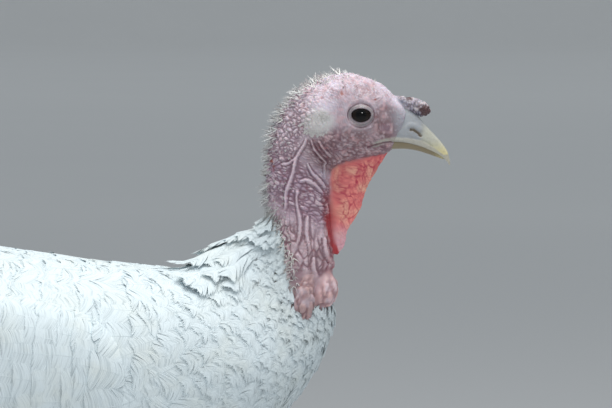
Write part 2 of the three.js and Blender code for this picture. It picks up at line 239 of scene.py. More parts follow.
# %% Turn a form into a piece
def piece(name, points, triangles, finish, smooth=True, tint=None, relief=None):
    """A mesh object from a form. Tint is a colour and relief a height for the finish to read."""
    mesh = bpy.data.meshes.new(name)
    mesh.vertices.add(len(points))
    mesh.vertices.foreach_set("co", placed(points).astype(np.float32).ravel())
    mesh.loops.add(3 * len(triangles))
    mesh.loops.foreach_set("vertex_index", triangles.astype(np.int32).ravel())
    mesh.polygons.add(len(triangles))
    mesh.polygons.foreach_set("loop_start", np.arange(0, 3 * len(triangles), 3, dtype=np.int32))
    mesh.polygons.foreach_set("use_smooth", np.full(len(triangles), smooth))
    if tint is not None:
        colours = np.column_stack([tint, np.ones(len(tint))]).astype(np.float32)
        mesh.attributes.new("tint", "FLOAT_COLOR", "POINT").data.foreach_set("color", colours.ravel())
    if relief is not None:
        heights = np.asarray(relief, np.float32)
        mesh.attributes.new("relief", "FLOAT", "POINT").data.foreach_set("value", heights)
    mesh.update(calc_edges=True)
    mesh.validate()
    mesh.materials.append(finish)
    made = bpy.data.objects.new(name, mesh)
    bpy.context.scene.collection.objects.link(made)
    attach(made, "root")
    print(name, "has", len(triangles), "triangles")
    return made


# %% [markdown]
# ## Sums with sockets
# A material is a sum of many small effects. Drawn by hand it is a web of nodes, but here it is
# written as arithmetic. A Wire holds one output socket, and adding or multiplying wires makes the
# Math nodes. Colours go through a Mix node, because a Math node would turn them grey.

# %% Write materials as arithmetic
class Wire:
    """One value of a finish, as the output socket that gives it."""

    def __init__(self, finish, socket):
        self.finish, self.socket = finish, socket

    def math(self, operation, first, second):
        return self.finish.node("ShaderNodeMath", {"operation": operation}, {0: first, 1: second})

    def __add__(self, other):
        return self.math("ADD", self, other)

    def __sub__(self, other):
        return self.math("SUBTRACT", self, other)

    def __rsub__(self, other):
        return self.math("SUBTRACT", other, self)

    def __mul__(self, other):
        return self.math("MULTIPLY", self, other)

    __radd__ = __add__
    __rmul__ = __mul__


class Finish:
    """A material in the making."""

    def __init__(self, name, **settings):
        self.material = bpy.data.materials.new(name)
        self.material.use_nodes = True
        self.shader = self.material.node_tree.nodes["Principled BSDF"]
        for socket, value in settings.items():
            self.set(socket.replace("_", " ").title().replace("Ior", "IOR"), value)

    def set(self, socket, value):
        """Sets a socket of the shader, or feeds it."""
        self.feed(self.shader.inputs[socket], value)

    def feed(self, socket, value):
        if isinstance(value, Wire):
            self.material.node_tree.links.new(value.socket, socket)
        elif socket.type == "RGBA":
            socket.default_value = (*value[:3], 1)
        else:
            socket.default_value = value

    def node(self, kind, settings=None, inputs=None, output=0):
        """Any node: its settings first, then its sockets by name or number."""
        made = self.material.node_tree.nodes.new(kind)
        for name, value in (settings or {}).items():
            if name == "stops":
                self.stops(made.color_ramp, value)
            else:
                setattr(made, name, value)
        for name, value in (inputs or {}).items():
            self.feed(made.inputs[name], value)
        return Wire(self, made.outputs[output])

    @staticmethod
    def stops(color_ramp, stops):
        for i, (place, grey) in enumerate(stops):
            stop = color_ramp.elements[i] if i < 2 else color_ramp.elements.new(place)
            stop.position, stop.color = place, (grey, grey, grey, 1)

    def read(self, name, output="Color"):
        """A number or colour that the mesh carries at each point."""
        return self.node("ShaderNodeAttribute", {"attribute_name": name}, output=output)

    def mixed(self, first, second, share, kind="MIX"):
        settings = {"data_type": "RGBA", "blend_type": kind}
        return self.node("ShaderNodeMix", settings, {0: share, 6: first, 7: second}, 2)

    def noise(self, millimetres, detail=3, roughness=0.55):
        """Soft noise from about 0 to 1, of the given size on the object."""
        at = self.node("ShaderNodeTexCoord", output="Object")
        sizes = {"Vector": at, "Scale": 1 / (millimetres * MM), "Detail": detail, "Roughness": roughness}
        return self.node("ShaderNodeTexNoise", {}, sizes)

    def stepped(self, value, low, high):
        """The value, with low made 0 and high made 1."""
        sizes = {"Value": value, "From Min": low, "From Max": high}
        return self.node("ShaderNodeMapRange", {"clamp": True}, sizes)

    def bumped(self, height, millimetres):
        """Raises the surface by the given height where the wire is 1."""
        self.set("Normal", self.node("ShaderNodeBump", {}, {"Height": height, "Distance": millimetres * MM}))


# %% [markdown]
# ## The body's stations
# The CAD model is one form from bill to rump, given by flat sections at 26 stations. The same table
# is used here twice: once as it is, for the outside of the coat, and once drawn in by the depth of
# the coat, for the skin. On the bare head both are the same.

# %% Read the outside of the bird and its skin from one table
# back x, back z, breast x, breast z, half the width, where it is widest, exponent of the curve
OUTSIDE = np.array([
    [29, 3, 25, -12, 5.2, 0.5, 2.2], [23.5, 9.8, 18, -22, 11.5, 0.58, 2.3],
    [13.5, 19.4, 9, -24.5, 16, 0.55, 2.3], [-1, 25.5, -2, -26.5, 18.4, 0.52, 2.3],
    [-14, 26.3, -9, -28.5, 19.6, 0.5, 2.2], [-29, 22, -14, -30.5, 19.6, 0.48, 2.2],
    [-42, 14, -17.5, -32.5, 18.6, 0.48, 2.2], [-51, 3, -19, -35.5, 17.6, 0.48, 2.2],
    [-56.5, -10, -19.5, -41, 17, 0.48, 2.2], [-59.5, -25, -19.5, -49, 16.8, 0.48, 2.2],
    [-60.5, -40, -19.5, -59, 17, 0.48, 2.2], [-60, -53, -19, -72, 18, 0.5, 2.2],
    [-59.5, -63, -17.5, -88, 18.2, 0.5, 2.2], [-66, -71.5, -19, -103, 18.6, 0.46, 2.1],
    [-79, -78, -17, -118, 21, 0.38, 1.9], [-94, -86.5, -18.5, -134, 29, 0.39, 2],
    [-111, -95.5, -27, -155, 45, 0.44, 2.15], [-133, -94.5, -44, -182, 63, 0.48, 2.25],
    [-163, -91.5, -76, -217, 77, 0.5, 2.3], [-204, -86, -128, -252, 86, 0.48, 2.3],
    [-250, -80, -190, -267, 90, 0.47, 2.3], [-301, -78, -258, -262, 87, 0.46, 2.25],
    [-350, -84, -322, -238, 76, 0.46, 2.2], [-394, -96, -374, -204, 58, 0.47, 2.1],
    [-428, -109, -414, -172, 39, 0.5, 2], [-452, -122, -446, -146, 20, 0.5, 2],
])
RUMP = len(OUTSIDE) - 1
NECK_BASE = 13.2

# The coat's depth on the back and on the breast, and half the width of the flesh.
COAT = np.array([
    [-0.6, -1.5, 8.4], [0, 0, 11.3], [0, 0, 16], [0, 0, 18.4], [0, 0, 19.6], [1.2, 0, 19.4],
    [2, 0, 18.4], [2.2, 0, 17.4], [2.2, 0, 17], [2.2, 0, 16.8], [2.2, 0, 17], [2.6, 0, 17.4],
    [4, 0, 17.4], [7, 0, 17.2], [9, 1, 18.6], [11, 5, 23], [12, 10, 36], [12, 12, 52],
    [12, 13, 65], [12, 13, 74], [12, 13, 78], [12, 13, 75], [12, 12, 64], [11, 11, 47],
    [10, 9, 29], [8, 6, 12],
])


def drawn_in(stations, coat):
    """The stations with their back and breast moved towards each other by the coat's depth."""
    made = stations.copy()
    across = unit(stations[:, 2:4] - stations[:, 0:2])
    made[:, 0:2] += across * coat[:, :1]
    made[:, 2:4] -= across * coat[:, 1:2]
    made[:, 4] = coat[:, 2]
    return made


def on_body(stations, u, turn, lift=0.0):
    """Points of the body at stations u, turned from the back (0) by the left side to the breast."""
    back_x, back_z, breast_x, breast_z, half, wide, square = np.moveaxis(along(stations, u), -1, 0)
    depth = np.hypot(breast_x - back_x, breast_z - back_z)
    toward = power(np.cos(turn), 2 / square)
    across = power(np.sin(turn), 2 / square)
    share = wide - toward * (np.where(toward > 0, wide, 1 - wide) + lift / depth)
    x = back_x + (breast_x - back_x) * share
    z = back_z + (breast_z - back_z) * share
    return np.stack([x, across * (half + lift), z], axis=-1)


FLESH = drawn_in(OUTSIDE, COAT)
print("the coat is up to", COAT[:, :2].max(), "mm deep")

# %% [markdown]
# ## A grid of skin with room for the eyes
# The skin needs cells of about half a millimetre on the head, where folds and warts are made by
# moving its points, and coarser ones under the coat. The rows follow the stations, so they can be
# dense on the head and wide on the trunk. Round each eye a block of cells is left out, for lids.

# %% Lay out the skin's grid
COLUMNS = 256
HEAD_ROWS = 350
trial_u, trial_turn = np.meshgrid(np.linspace(0, NECK_BASE, 1500), (0, 1.6, 3.1), indexing="ij")
steps = np.linalg.norm(np.diff(on_body(FLESH, trial_u, trial_turn), axis=0), axis=-1).max(axis=1)
reach = np.append(0, np.cumsum(steps))  # how far along the longest side each ring lies
skin_u = np.concatenate([
    np.interp(np.linspace(0, reach[-1], HEAD_ROWS), reach, trial_u[:, 0]),
    np.linspace(NECK_BASE, RUMP, 90)[1:],
])
skin_turn = np.arange(COLUMNS) * 2 * math.pi / COLUMNS
grid_u, grid_turn = np.meshgrid(skin_u, skin_turn, indexing="ij")
skin_grid = on_body(FLESH, grid_u, grid_turn)
skin_points, skin_triangles = capped(skin_grid.reshape(-1, 3), planks(len(skin_u), COLUMNS), COLUMNS)
skin_share = 0.5 - 0.5 * np.cos(grid_turn)
print("the skin starts with", len(skin_points), "points")

# %% [markdown]
# ## Lids
# A bird's eye sits behind a ring of wrinkled lid. Cut into a square grid, such a ring would look like
# stairs. So the left-out block is filled with rings that start on its edge and end on the oval of
# the open eye. Going in, the surface leaves the head, dips into a groove, rises over the lid's rim
# and then turns in under the rim to meet the eyeball.

# %% Fill the left-out blocks with lids
LID_BLOCK = (12.5, 11.5)  # half the block's size, along and up
LID_STEPS = np.array([
    0, 0.25, 0.5, 0.8, 1.1, 1.4, 1.7, 2, 2.3, 2.6, 2.9, 3.3, 3.7, 4.1, 4.5, 4.9, 5.3, 5.7, 6.1, 6.5, 6.9, 7.3,
])


def eye_opening(angle):
    """How far the open eye reaches from its middle, at an angle up from straight ahead."""
    ahead, up = np.cos(angle), np.sin(angle)
    reach_x = np.where(ahead > 0, 6.2, 6.0)
    reach_z = np.where(up > 0, 3.9, 4.5)
    return (np.abs(ahead / reach_x) ** 2.05 + np.abs(up / reach_z) ** 2.05) ** (-1 / 2.05)


def rim_share(out, angle):
    """Millimetres out from the eye's edge, scaled so that the groove round the lid lies at 2.8."""
    return out * 2.8 / (2.1 + np.where(np.sin(angle) > 0, 0.9, 1.3) * np.abs(np.sin(angle)) ** 1.5)


def lid_profile(out, angle):
    """Height of the skin near the eye, out millimetres from the opening's edge."""
    out = rim_share(out, angle)
    rim = 0.6 * bump(out, 1.3, 1.35) - 0.45 * bump(out, 2.8, 0.7) + 0.35 * bump(out, 4.1, 1.3)
    creases = 0.11 * np.sin(out * 5.2 + 0.8 * np.sin(3 * angle)) * ramp(out, 0.3, 1.0) * ramp(out, 6.5, 3.5)
    return rim + creases


def with_lid(points, triangles, side):
    """The skin with the block round one eye replaced by rings of lid."""
    middle = np.array([0, EYE["up"]])
    offset = skin_grid[..., (0, 2)] - middle
    near = (skin_grid[..., 1] * side > 5) & (np.abs(offset) < LID_BLOCK).all(axis=-1) & (grid_u < 6)
    rows, columns = np.nonzero(near)
    r0, r1, c0, c1 = rows.min(), rows.max(), columns.min(), columns.max()
    top = [(r, c0) for r in range(r0, r1)]
    rear = [(r1, c) for c in range(c0, c1)]
    bottom = [(r, c1) for r in range(r1, r0, -1)]
    front = [(r0, c) for c in range(c1, c0, -1)]
    edge = np.array([r * COLUMNS + c for r, c in top + rear + bottom + front])

    nearby = (skin_grid[..., 1] * side > 5) & (np.linalg.norm(offset, axis=-1) < 24) & (grid_u < 6)
    powers = [(i, j) for i in range(6) for j in range(6 - i)]
    fit = lambda x, z: np.stack([(x / 20) ** i * (z / 20) ** j for i, j in powers], axis=-1)
    surface = skin_grid[nearby]
    weights = np.linalg.lstsq(fit(surface[:, 0], surface[:, 2] - middle[1]), surface[:, 1], rcond=None)[0]
    base = lambda x, z: fit(x, z) @ weights
    eyeball = lambda x, z: side * (EYE["aside"] + np.sqrt(np.maximum(EYE["radius"] ** 2 - x**2 - z**2, 9)))

    flat = points[edge][:, (0, 2)] - middle
    angle = np.arctan2(flat[:, 1], flat[:, 0])
    opening = eye_opening(angle)
    reach = np.linalg.norm(flat, axis=1)
    rings, heights = [], []
    for step in LID_STEPS:
        far = opening + step * (1 + (step / 7.3) ** 2 * ((reach - opening) / 7.8 - 1))
        x, z = far * np.cos(angle), far * np.sin(angle)
        on_head = base(x, z) + side * 0.2 * ramp(step, 7, 3)
        on_eye = eyeball(x, z) + side * 0.55
        share = ramp(step, 0.6, 2.6)
        y = on_eye + (on_head - on_eye) * share
        rings.append(np.stack([x, y, z + middle[1]], axis=-1))
        heights.append(lid_profile(step, angle))
    for drop, far in ((0.1, -0.12), (-0.5, -0.3), (-2.5, -0.4)):
        x, z = (opening + far) * np.cos(angle), (opening + far) * np.sin(angle)
        rings.insert(0, np.stack([x, eyeball(x, z) + side * drop, z + middle[1]], axis=-1))
        heights.insert(0, np.zeros(len(edge)))
    count = len(edge)
    made = np.vstack(rings)
    start = len(points)
    index = np.arange(start, start + len(made)).reshape(len(rings), count)
    index = np.vstack([index, edge])
    here, beside = index[:-1], np.roll(index[:-1], -1, axis=1)
    above, diagonal = index[1:], np.roll(index[1:], -1, axis=1)
    quads = np.stack([here, beside, diagonal, here, diagonal, above], axis=-1).reshape(-1, 3)
    back = np.append(made, [made[:count].mean(axis=0)], axis=0)
    fan = np.stack([np.full(count, start + len(made)), np.roll(index[0], -1), index[0]], axis=-1)

    r, c = triangles.max(axis=1) // COLUMNS, triangles % COLUMNS
    rows_of = triangles // COLUMNS
    inside = ((rows_of >= r0) & (rows_of <= r1) & (c >= c0) & (c <= c1)).all(axis=1)
    ring_faces = np.vstack([quads, fan])
    a, b, d = [np.vstack([points, back])[ring_faces[:, k]] for k in range(3)]
    if (np.cross(b - a, d - a)[:, 1] * side).sum() < 0:
        ring_faces = ring_faces[:, ::-1]
    lid_heights = np.concatenate([*heights, [0]])
    lid_places = np.concatenate([np.repeat(np.linspace(0, 1, len(rings)), count), [0]])
    return np.vstack([points, back]), np.vstack([triangles[~inside], ring_faces]), lid_heights, lid_places


skin_lid = np.zeros(len(skin_points))
skin_near_lid = np.ones(len(skin_points))
for side in SIDES.values():
    skin_points, skin_triangles, heights, places = with_lid(skin_points, skin_triangles, side)
    skin_lid = np.concatenate([skin_lid, heights])
    skin_near_lid = np.concatenate([skin_near_lid, places])
skin_triangles = facing_out(skin_points, skin_triangles)
print("with its lids the skin has", len(skin_triangles), "triangles")

# %% [markdown]
# ## Folds, warts and cords
# A turkey's bare skin is its best feature. The crown is finely pebbled, the nape is covered in round
# warts, the upper neck is creased across, and the lower neck hangs in columns of warts. Long cords
# of skin run over all of it. Each of these is one number per point, and they add up to how far the
# skin moves out along its own normal. The same numbers then tell the colours where ridges are.

# %% Name the regions of the skin
skin_out = normals(skin_points, skin_triangles)
tree = KDTree(len(skin_grid.reshape(-1, 3)))
for i, point in enumerate(skin_grid.reshape(-1, 3)):
    tree.insert(point, i)
tree.balance()
lid_points = np.arange(COLUMNS * len(skin_u) + 2, len(skin_points))
beside = np.array([tree.find(skin_points[i])[1] for i in lid_points])
ends = [COLUMNS // 2, COLUMNS * (len(skin_u) - 1)]
origin_of = np.concatenate([np.arange(COLUMNS * len(skin_u)), ends, beside])
u = grid_u.ravel()[origin_of]
share = skin_share.ravel()[origin_of]

x, y, z = skin_points.T
side_of = np.where(y > 0, 1, -1)
from_eye = np.hypot(x, z - EYE["up"])
away_from_lid = ramp(from_eye, 8, 11.5)


def oval(middle_x, middle_z, reach_x, reach_z, soft=0.3):
    """1 inside an oval seen from the side, and 0 outside it."""
    far = np.hypot((x - middle_x) / reach_x, (z - middle_z) / reach_z)
    return ramp(far, 1 + soft, 1 - soft)


wander = np.stack([mottle(skin_points, 9, salt) for salt in (31, 32, 33)], axis=-1)
on_crown = ramp(z, 6, 14) * ramp(u, 6.5, 5)
on_nape = ramp(u, 4.6, 6) * ramp(u, 9.5, 8.2) * ramp(share, 0.62, 0.36)
on_neck = ramp(u, 7.2, 8.6) * ramp(u, 15.6, 14.6)
on_low_neck = ramp(u, 10.3, 11.8) * ramp(u, 15.8, 14.8)
on_cheek = oval(-8, -22, 30, 15)
on_ear = oval(-25.8, -2.8, 8.8, 7.4, 0.4)
on_lore = oval(16, -4, 9, 12)
on_throat = ramp(share, 0.84, 0.93) * ramp(u, 8.6, 9.6) * ramp(u, 13.4, 12.4)
under_coat = ramp(u, 15.5, 16.5)

# %% Run cords of skin over the neck
CORDS = [  # half the width, height, then the way, x and z
    (1.3, 1.7, [(-33.9, -14.2), (-35.2, -18.2), (-39.1, -24.4), (-40.8, -28.5), (-42.9, -37.4),
                (-45.1, -43.2), (-46.9, -49), (-46.9, -57), (-48.4, -60.8)]),
    (1.1, 1.2, [(-37.4, -23.9), (-44.9, -29.7), (-50.2, -30.6)]),
    (1.3, 1.7, [(-38.9, -45.4), (-40, -53.4), (-38.6, -60.7), (-37.4, -68), (-37.8, -74.6), (-40, -81.8)]),
    (0.9, 0.9, [(-25.9, -15.9), (-21.5, -23), (-17.9, -27)]),
    (1.0, 1.1, [(-31.2, -14.2), (-29, -20.4), (-25, -26.1), (-22.1, -29.7), (-22.9, -32.2), (-21.8, -42.5)]),
    (1.1, 1.3, [(-33.5, -30.1), (-30.5, -35.9), (-24.7, -41.8), (-21.1, -46.9)]),
    (1.1, 1.3, [(-38.6, -41), (-33.5, -40.3), (-27.6, -44.6), (-22.9, -49.8)]),
    (1.3, 1.5, [(-32.7, -62.9), (-33.5, -71.7), (-32.4, -80.4)]),
    (1.3, 1.4, [(-21.8, -55.6), (-18.8, -68.8), (-15.9, -78.2)]),
    (1.3, 1.4, [(-23.3, -76), (-21.8, -86.2), (-18.8, -93.6)]),
    (1.4, 1.6, [(-29.8, -88.4), (-29.8, -95), (-27.6, -100.8)]),
]


def distance_to_way(way, at, places=False):
    """How far points seen from the side are from a smooth line, and where along it they are."""
    line = along(way, np.linspace(0, len(way) - 1, 12 * len(way)))
    nearest = np.full(len(at), 1e9)
    where = np.zeros(len(at))
    for i, (start, end) in enumerate(zip(line[:-1], line[1:])):
        run = end - start
        share = np.clip(((at - start) @ run) / (run @ run), 0, 1)
        distance = np.linalg.norm(at - start - share[:, None] * run, axis=1)
        where = np.where(distance < nearest, (i + share) / (len(line) - 1), where)
        nearest = np.minimum(nearest, distance)
    return (nearest, where) if places else nearest


BARE_EDGE = [(-75, -58), (-57.7, -60), (-55, -62), (-48, -77.5), (-44, -96), (-39.7, -114.7), (-28, -117.5), (-8, -116.6)]


def feathered(place):
    """How far inside the feathered region a point is, seen from the side: above 0 is feathered."""
    way = np.array(BARE_EDGE, float)
    flat = place[..., (0, 2)]
    distance = distance_to_way(way, flat)
    edge_x = np.interp(-flat[:, 1], -way[:, 1], way[:, 0])
    behind = (flat[:, 0] < edge_x) | (flat[:, 1] < -117)
    return np.where(behind, distance, -distance)


in_feathers = ramp(feathered(skin_points), 0, 4) * (u > 10)
cords = np.zeros(len(skin_points))
from_side = skin_points[:, (0, 2)] - (0, 1.2) + 0.55 * wander[:, (0, 2)]
from_side[y > 0] += (0.9 * mottle(skin_points[y > 0], 26, 41)[:, None] + (1.5, -1.2))
low_way = np.abs(y) > 5
for half, height, way in CORDS:
    distance, where = distance_to_way(way, from_side, places=True)
    distance = distance / (0.75 + 0.25 * bump(where, 0.5, 0.5) + 0.22 * wander[:, 1])
    height = height * ramp(where, 0, 0.12) ** 0.5 * ramp(where, 1, 0.8)
    ridge = height * ramp(distance, half, 0.2 * half) - 0.4 * height * bump(distance, 1.5 * half, 0.6 * half)
    cords = np.where(np.abs(ridge) > np.abs(cords), ridge * low_way * ramp(np.abs(y), 4, 9), cords)

# %% Add warts and creases
def bent(reach, size, salt):
    """The skin's points pushed about, so that what is read there loses its straight lines."""
    return skin_points + reach * np.stack([mottle(skin_points, size, salt + k) for k in range(3)], axis=-1)


def islands(at, size, salt, soft=0.42):
    """1 on pebbles and 0 in the grooves between them, and each pebble's own number."""
    near, following, number = pebbles(at, size, salt)
    return ramp(following - near, 0.02, soft), number


fine, fine_number = islands(bent(0.5, 1.6, 51), 1.5, 54)
warts, wart_number = islands(bent(1.0, 3.2, 61), 2.7, 64)
sheared = bent(1.7, 5, 71)
sheared[:, 2] += 0.3 * (x + 40)
creases, crease_number = islands(sheared, (5.6, 5.6, 1.9), 74)
folds, fold_number = islands(bent(2.4, 7, 81), (3.6, 3.6, 8.5), 84)
knots, knot_number = islands(bent(1.3, 3, 87), (2.3, 2.3, 3.4), 88)
rolling = mottle(skin_points, 6, 91) + 0.5 * mottle(skin_points, 3, 92)

calm = ramp(np.abs(cords), 0.6, 0.1)
fine_share = 0.5 + 0.5 * np.maximum(on_crown, on_nape)
relief = (
    0.3 * (fine - 0.5) * fine_share * (1 - 0.85 * on_ear)
    + 0.85 * warts * (0.5 + 0.8 * wart_number) * on_nape * calm
    + 0.75 * creases * (0.5 + 0.8 * crease_number) * on_neck * (1 - on_low_neck) * calm
    + 1.3 * folds * (0.45 + 0.8 * fold_number) * on_low_neck * calm
    + 0.45 * knots * (0.4 + 0.8 * knot_number) * on_low_neck
    + 0.6 * creases * (0.5 + 0.8 * crease_number) * on_cheek * ramp(from_eye, 11, 18) * (1 - 0.7 * on_ear)
    + 0.22 * warts * on_crown * ramp(x, 12, -12)
    + 0.3 * rolling
) * away_from_lid * (1 - 0.7 * in_feathers) * (1 - under_coat)
mouth_crease = distance_to_way([(4, -18.8), (9, -17.6), (14, -16.6), (22, -16)], from_side + (0, 1.2))
relief -= 0.5 * ramp(mouth_crease, 1.1, 0.2) * ramp(np.abs(y), 3, 6)
relief += (cords + 0.45 * on_ear) * (1 - under_coat)
skin_height = np.where(skin_near_lid < 1, relief * ramp(skin_near_lid, 0.75, 1), relief) + skin_lid
skin_points = skin_points + skin_out * skin_height[:, None]
print("the skin stands out by up to", skin_height.max().round(2), "mm")

# %% [markdown]
# ## Colours of the skin
# The skin of the head is lilac on the crown, mauve on the cheek and rose to purple down the neck.
# The cheek, the lore and the lower head are darkened partly for their own colour and partly as
# painted shade. The creases and the grooves between warts and pebbles are painted darker and redder,
# as painted shade, and the ridges lighter and powdery, as painted highlights. The colours are mixed
# here, point by point, from a few named ones. The material only adds what is finer than the mesh.

# %% Mix the colours of the skin
LILAC = np.array([0.80, 0.73, 0.85])
ASH = np.array([0.47, 0.40, 0.46])
MAUVE = np.array([0.31, 0.165, 0.18])
ROSE = np.array([0.73, 0.47, 0.50])
PURPLE = np.array([0.46, 0.30, 0.41])
PLUM = np.array([0.13, 0.035, 0.06])
BLUSH = np.array([0.80, 0.65, 0.71])
SCARLET = np.array([0.38, 0.025, 0.035])
CHALK = np.array([0.66, 0.64, 0.63])
SLATE = np.array([0.19, 0.16, 0.19])
LID = np.array([0.42, 0.39, 0.39])
RUST = np.array([0.33, 0.075, 0.04])
RUST_SPOTS = [(-11.8, 14.9, 1.3), (-55.2, -27.9, 1.3), (-40.5, 15.5, 0.8), (8.9, 10.9, 0.7), (-54, -31, 0.8)]  # x, z, radius
DOWN = np.array([0.76, 0.74, 0.72])
CERE_SKIN = np.array([0.36, 0.36, 0.41])
PALE_HORN = np.array([0.50, 0.48, 0.42])


def tinted(base, colour, share):
    """Moves the colours of points towards one colour."""
    return base + (colour - base) * np.clip(share, 0, 1)[:, None]


eye_angle = np.arctan2(z - EYE["up"], x)
from_eye_edge = rim_share(np.hypot(x, z - EYE["up"]) - eye_opening(eye_angle), eye_angle)
near_eye_side = ramp(np.abs(y), 6, 9) * (u < 6)
patches = mottle(skin_points, 7, 101)
flecks = mottle(skin_points, 1.6, 102)
tint = np.tile(LILAC, (len(skin_points), 1))
# The lower head, the cheek and the lore are darkened with mauve, partly their own colour and partly painted shade.
tint = tinted(tint, MAUVE, 0.6 * ramp(z, 8, -10) * ramp(u, 7.5, 6))
tint = tinted(tint, ASH, 0.85 * ramp(from_eye, 27, 12) * near_eye_side)
tint = tinted(tint, MAUVE * 0.66, on_cheek * 0.85)
tint = tinted(tint, MAUVE * 0.6, 0.85 * on_lore)
tint = tinted(tint, PURPLE, 0.8 * ramp(u, 7.2, 9) * ramp(u, 11.8, 10.6))
tint = tinted(tint, ROSE, 0.75 * ramp(u, 10.4, 12.2))
tint = tinted(tint, BLUSH, 0.45 * on_nape)
tint = tinted(tint, SCARLET, 0.9 * on_throat)
tint = tinted(tint, PURPLE, 0.25 * ramp(patches, 0, 0.8))
tint = tinted(tint, BLUSH, 0.25 * ramp(patches, 0, -0.8))
wrinkled = np.maximum.reduce([on_neck, on_nape, 0.8 * on_cheek * ramp(from_eye, 13, 20), 0.45 * on_crown])
groove = np.maximum.reduce([
    (1 - creases) * np.maximum(on_neck * (1 - on_low_neck), 0.85 * on_cheek * ramp(from_eye, 11, 18)), (1 - warts) * on_nape,
    (1 - folds) * on_low_neck, 0.6 * (1 - knots) * on_low_neck, 0.45 * (1 - fine) * (1 - on_ear),
])
# Creases and the grooves between warts and pebbles are painted plum, as painted shade.
tint = tinted(tint, PLUM, 0.72 * groove * calm * away_from_lid * (0.3 + 0.7 * wrinkled))
# The ridges between them are painted blush, as painted highlights.
tint = tinted(tint, BLUSH, 0.45 * (1 - groove) * on_low_neck)
tint = tinted(tint, BLUSH, 0.8 * (1 - groove) * wrinkled * ramp(mottle(skin_points, 3.4, 104), -0.5, 0.6))
tint = tinted(tint, MAUVE, 0.5 * on_crown * ramp(mottle(skin_points, 2.6, 105) + 0.6 * (1 - fine), 0.1, 0.9))
# Fine creases run round the eye only in colour: darker mauve rings of painted shade, with rosy patches between them.
rings = np.sin((from_eye_edge + 1.2 * mottle(skin_points, 5, 107)) * 2 * math.pi / 1.7)
round_eye = ramp(from_eye_edge, 2.9, 4) * ramp(from_eye_edge, 16, 9) * near_eye_side
tint = tinted(tint, MAUVE, 0.42 * ramp(rings, 0, 1) * round_eye * ramp(mottle(skin_points, 3.2, 110), -0.6, 0.3))
tint = tinted(tint, ROSE, 0.5 * ramp(mottle(skin_points, 2.4, 108), 0.1, 0.8) * near_eye_side * (1 - on_ear))
tint = tinted(tint, BLUSH, 0.4 * ramp(mottle(skin_points, 1.2, 109), 0.1, 0.8) * near_eye_side)
# Plum beside the cords is painted shade in the hollows there; blush on their tops is painted highlight.
tint = tinted(tint, PLUM, 0.6 * ramp(cords, 0, -0.3))
tint = tinted(tint, BLUSH, 0.55 * ramp(cords, 0.5, 1.3))
tint = tinted(tint, SCARLET, 0.22 * ramp(flecks, 0.3, 0.9) * (1 - on_ear))
tint = tinted(tint, CHALK, 0.85 * on_ear)
tint = tinted(tint, CERE_SKIN, 0.85 * ramp(x + 0.25 * z, 15, 24) * ramp(z, 9, 1))
gape = distance_to_way([(5, -18.4), (9, -17.2), (15, -15.2), (26, -13.6)], np.stack([x, z], axis=-1))
tint = tinted(tint, PALE_HORN, 0.85 * ramp(gape, 2.2, 0.8) * ramp(np.abs(y), 3, 6) * ramp(x, 5, 11))
# The mouth crease is painted plum, as painted shade in the crease.
tint = tinted(tint, PLUM, 0.8 * ramp(mouth_crease, 0.9, 0.3) * ramp(np.abs(y), 3, 6))
beads = islands(skin_points, 0.9, 94)[0]
# A dark line of painted shade fills the groove round the lid.
lid_groove_shade = 0.45 + 0.5 * ramp(mottle(skin_points, 2.5, 111), -0.4, 0.5)
# The lid's beads are its own texture; its lower half is painted darker, as painted shade.
lid_shade = (0.55 + 0.55 * beads) * (1 - 0.4 * ramp(z - EYE["up"], 1, -3))
tint = tinted(tint, np.array([0.12, 0.06, 0.07]), lid_groove_shade * bump(from_eye_edge, 2.85, 0.9) * near_eye_side)
tint = tinted(tint, LID * lid_shade[:, None], 0.85 * bump(from_eye_edge, 1.3, 1.2) ** 0.5 * near_eye_side)
# Where the lid turns in to the eyeball the skin is painted nearly black, as painted shade.
tint = tinted(tint, SLATE * 0.35, ramp(from_eye_edge, 0.5, 0.1) * near_eye_side)
for spot_x, spot_z, radius in RUST_SPOTS:
    spot = np.hypot(x - spot_x, z - spot_z) + 0.4 * flecks
    tint = tinted(tint, RUST, 0.9 * ramp(spot, 1.3 * radius, 0.5 * radius) * (y < 0))
red_strip = distance_to_way([(-19.9, -63), (-19.2, -70), (-17.5, -78), (-14.5, -88)], np.stack([x, z], axis=-1))
tint = tinted(tint, SCARLET, 0.9 * ramp(red_strip, 3.2, 1.6))
tint = tinted(tint, DOWN, np.maximum(under_coat, in_feathers))
skin_tint = tint

# %% [markdown]
# ## The bill
# A turkey's bill is horn over bone: a hooked upper half with a nostril under a soft flap, and a
# thinner lower half. Each is lofted from stations along it, as in the CAD model, on a grid fine
# enough for the nostril, the cutting edge and the growth lines to be carved by moving points.

# %% Loft the two halves of the bill
UPPER_BILL = [  # ridge x, z; cutting edge x, z; half the width
    (17, 9, 9, -15.5, 9.6), (27, 6.5, 19, -15.6, 9.4), (35, 0.8, 26.5, -16.1, 8.4),
    (40.5, -5.6, 33, -17.4, 7), (46, -11.4, 39.5, -19.6, 5.6), (51, -17, 45.5, -22.3, 4),
    (54.3, -22.2, 50.2, -25, 2.5), (56, -28, 54.4, -28.8, 1), (56.2, -30.8, 55.6, -31, 0.4),
]
LOWER_BILL = [
    (8, -21.6, 8, -15.6, 8.4), (19, -20.9, 19, -15.2, 7.9), (27.6, -20.7, 28, -15.8, 6.9),
    (35, -21.7, 36, -17.6, 5.5), (41.7, -23.7, 43, -20.4, 3.9), (48.4, -26, 49, -24, 1.9), (50.6, -26.8, 51, -25.6, 1.1), (52, -27.2, 52.2, -26.8, 0.4),
]


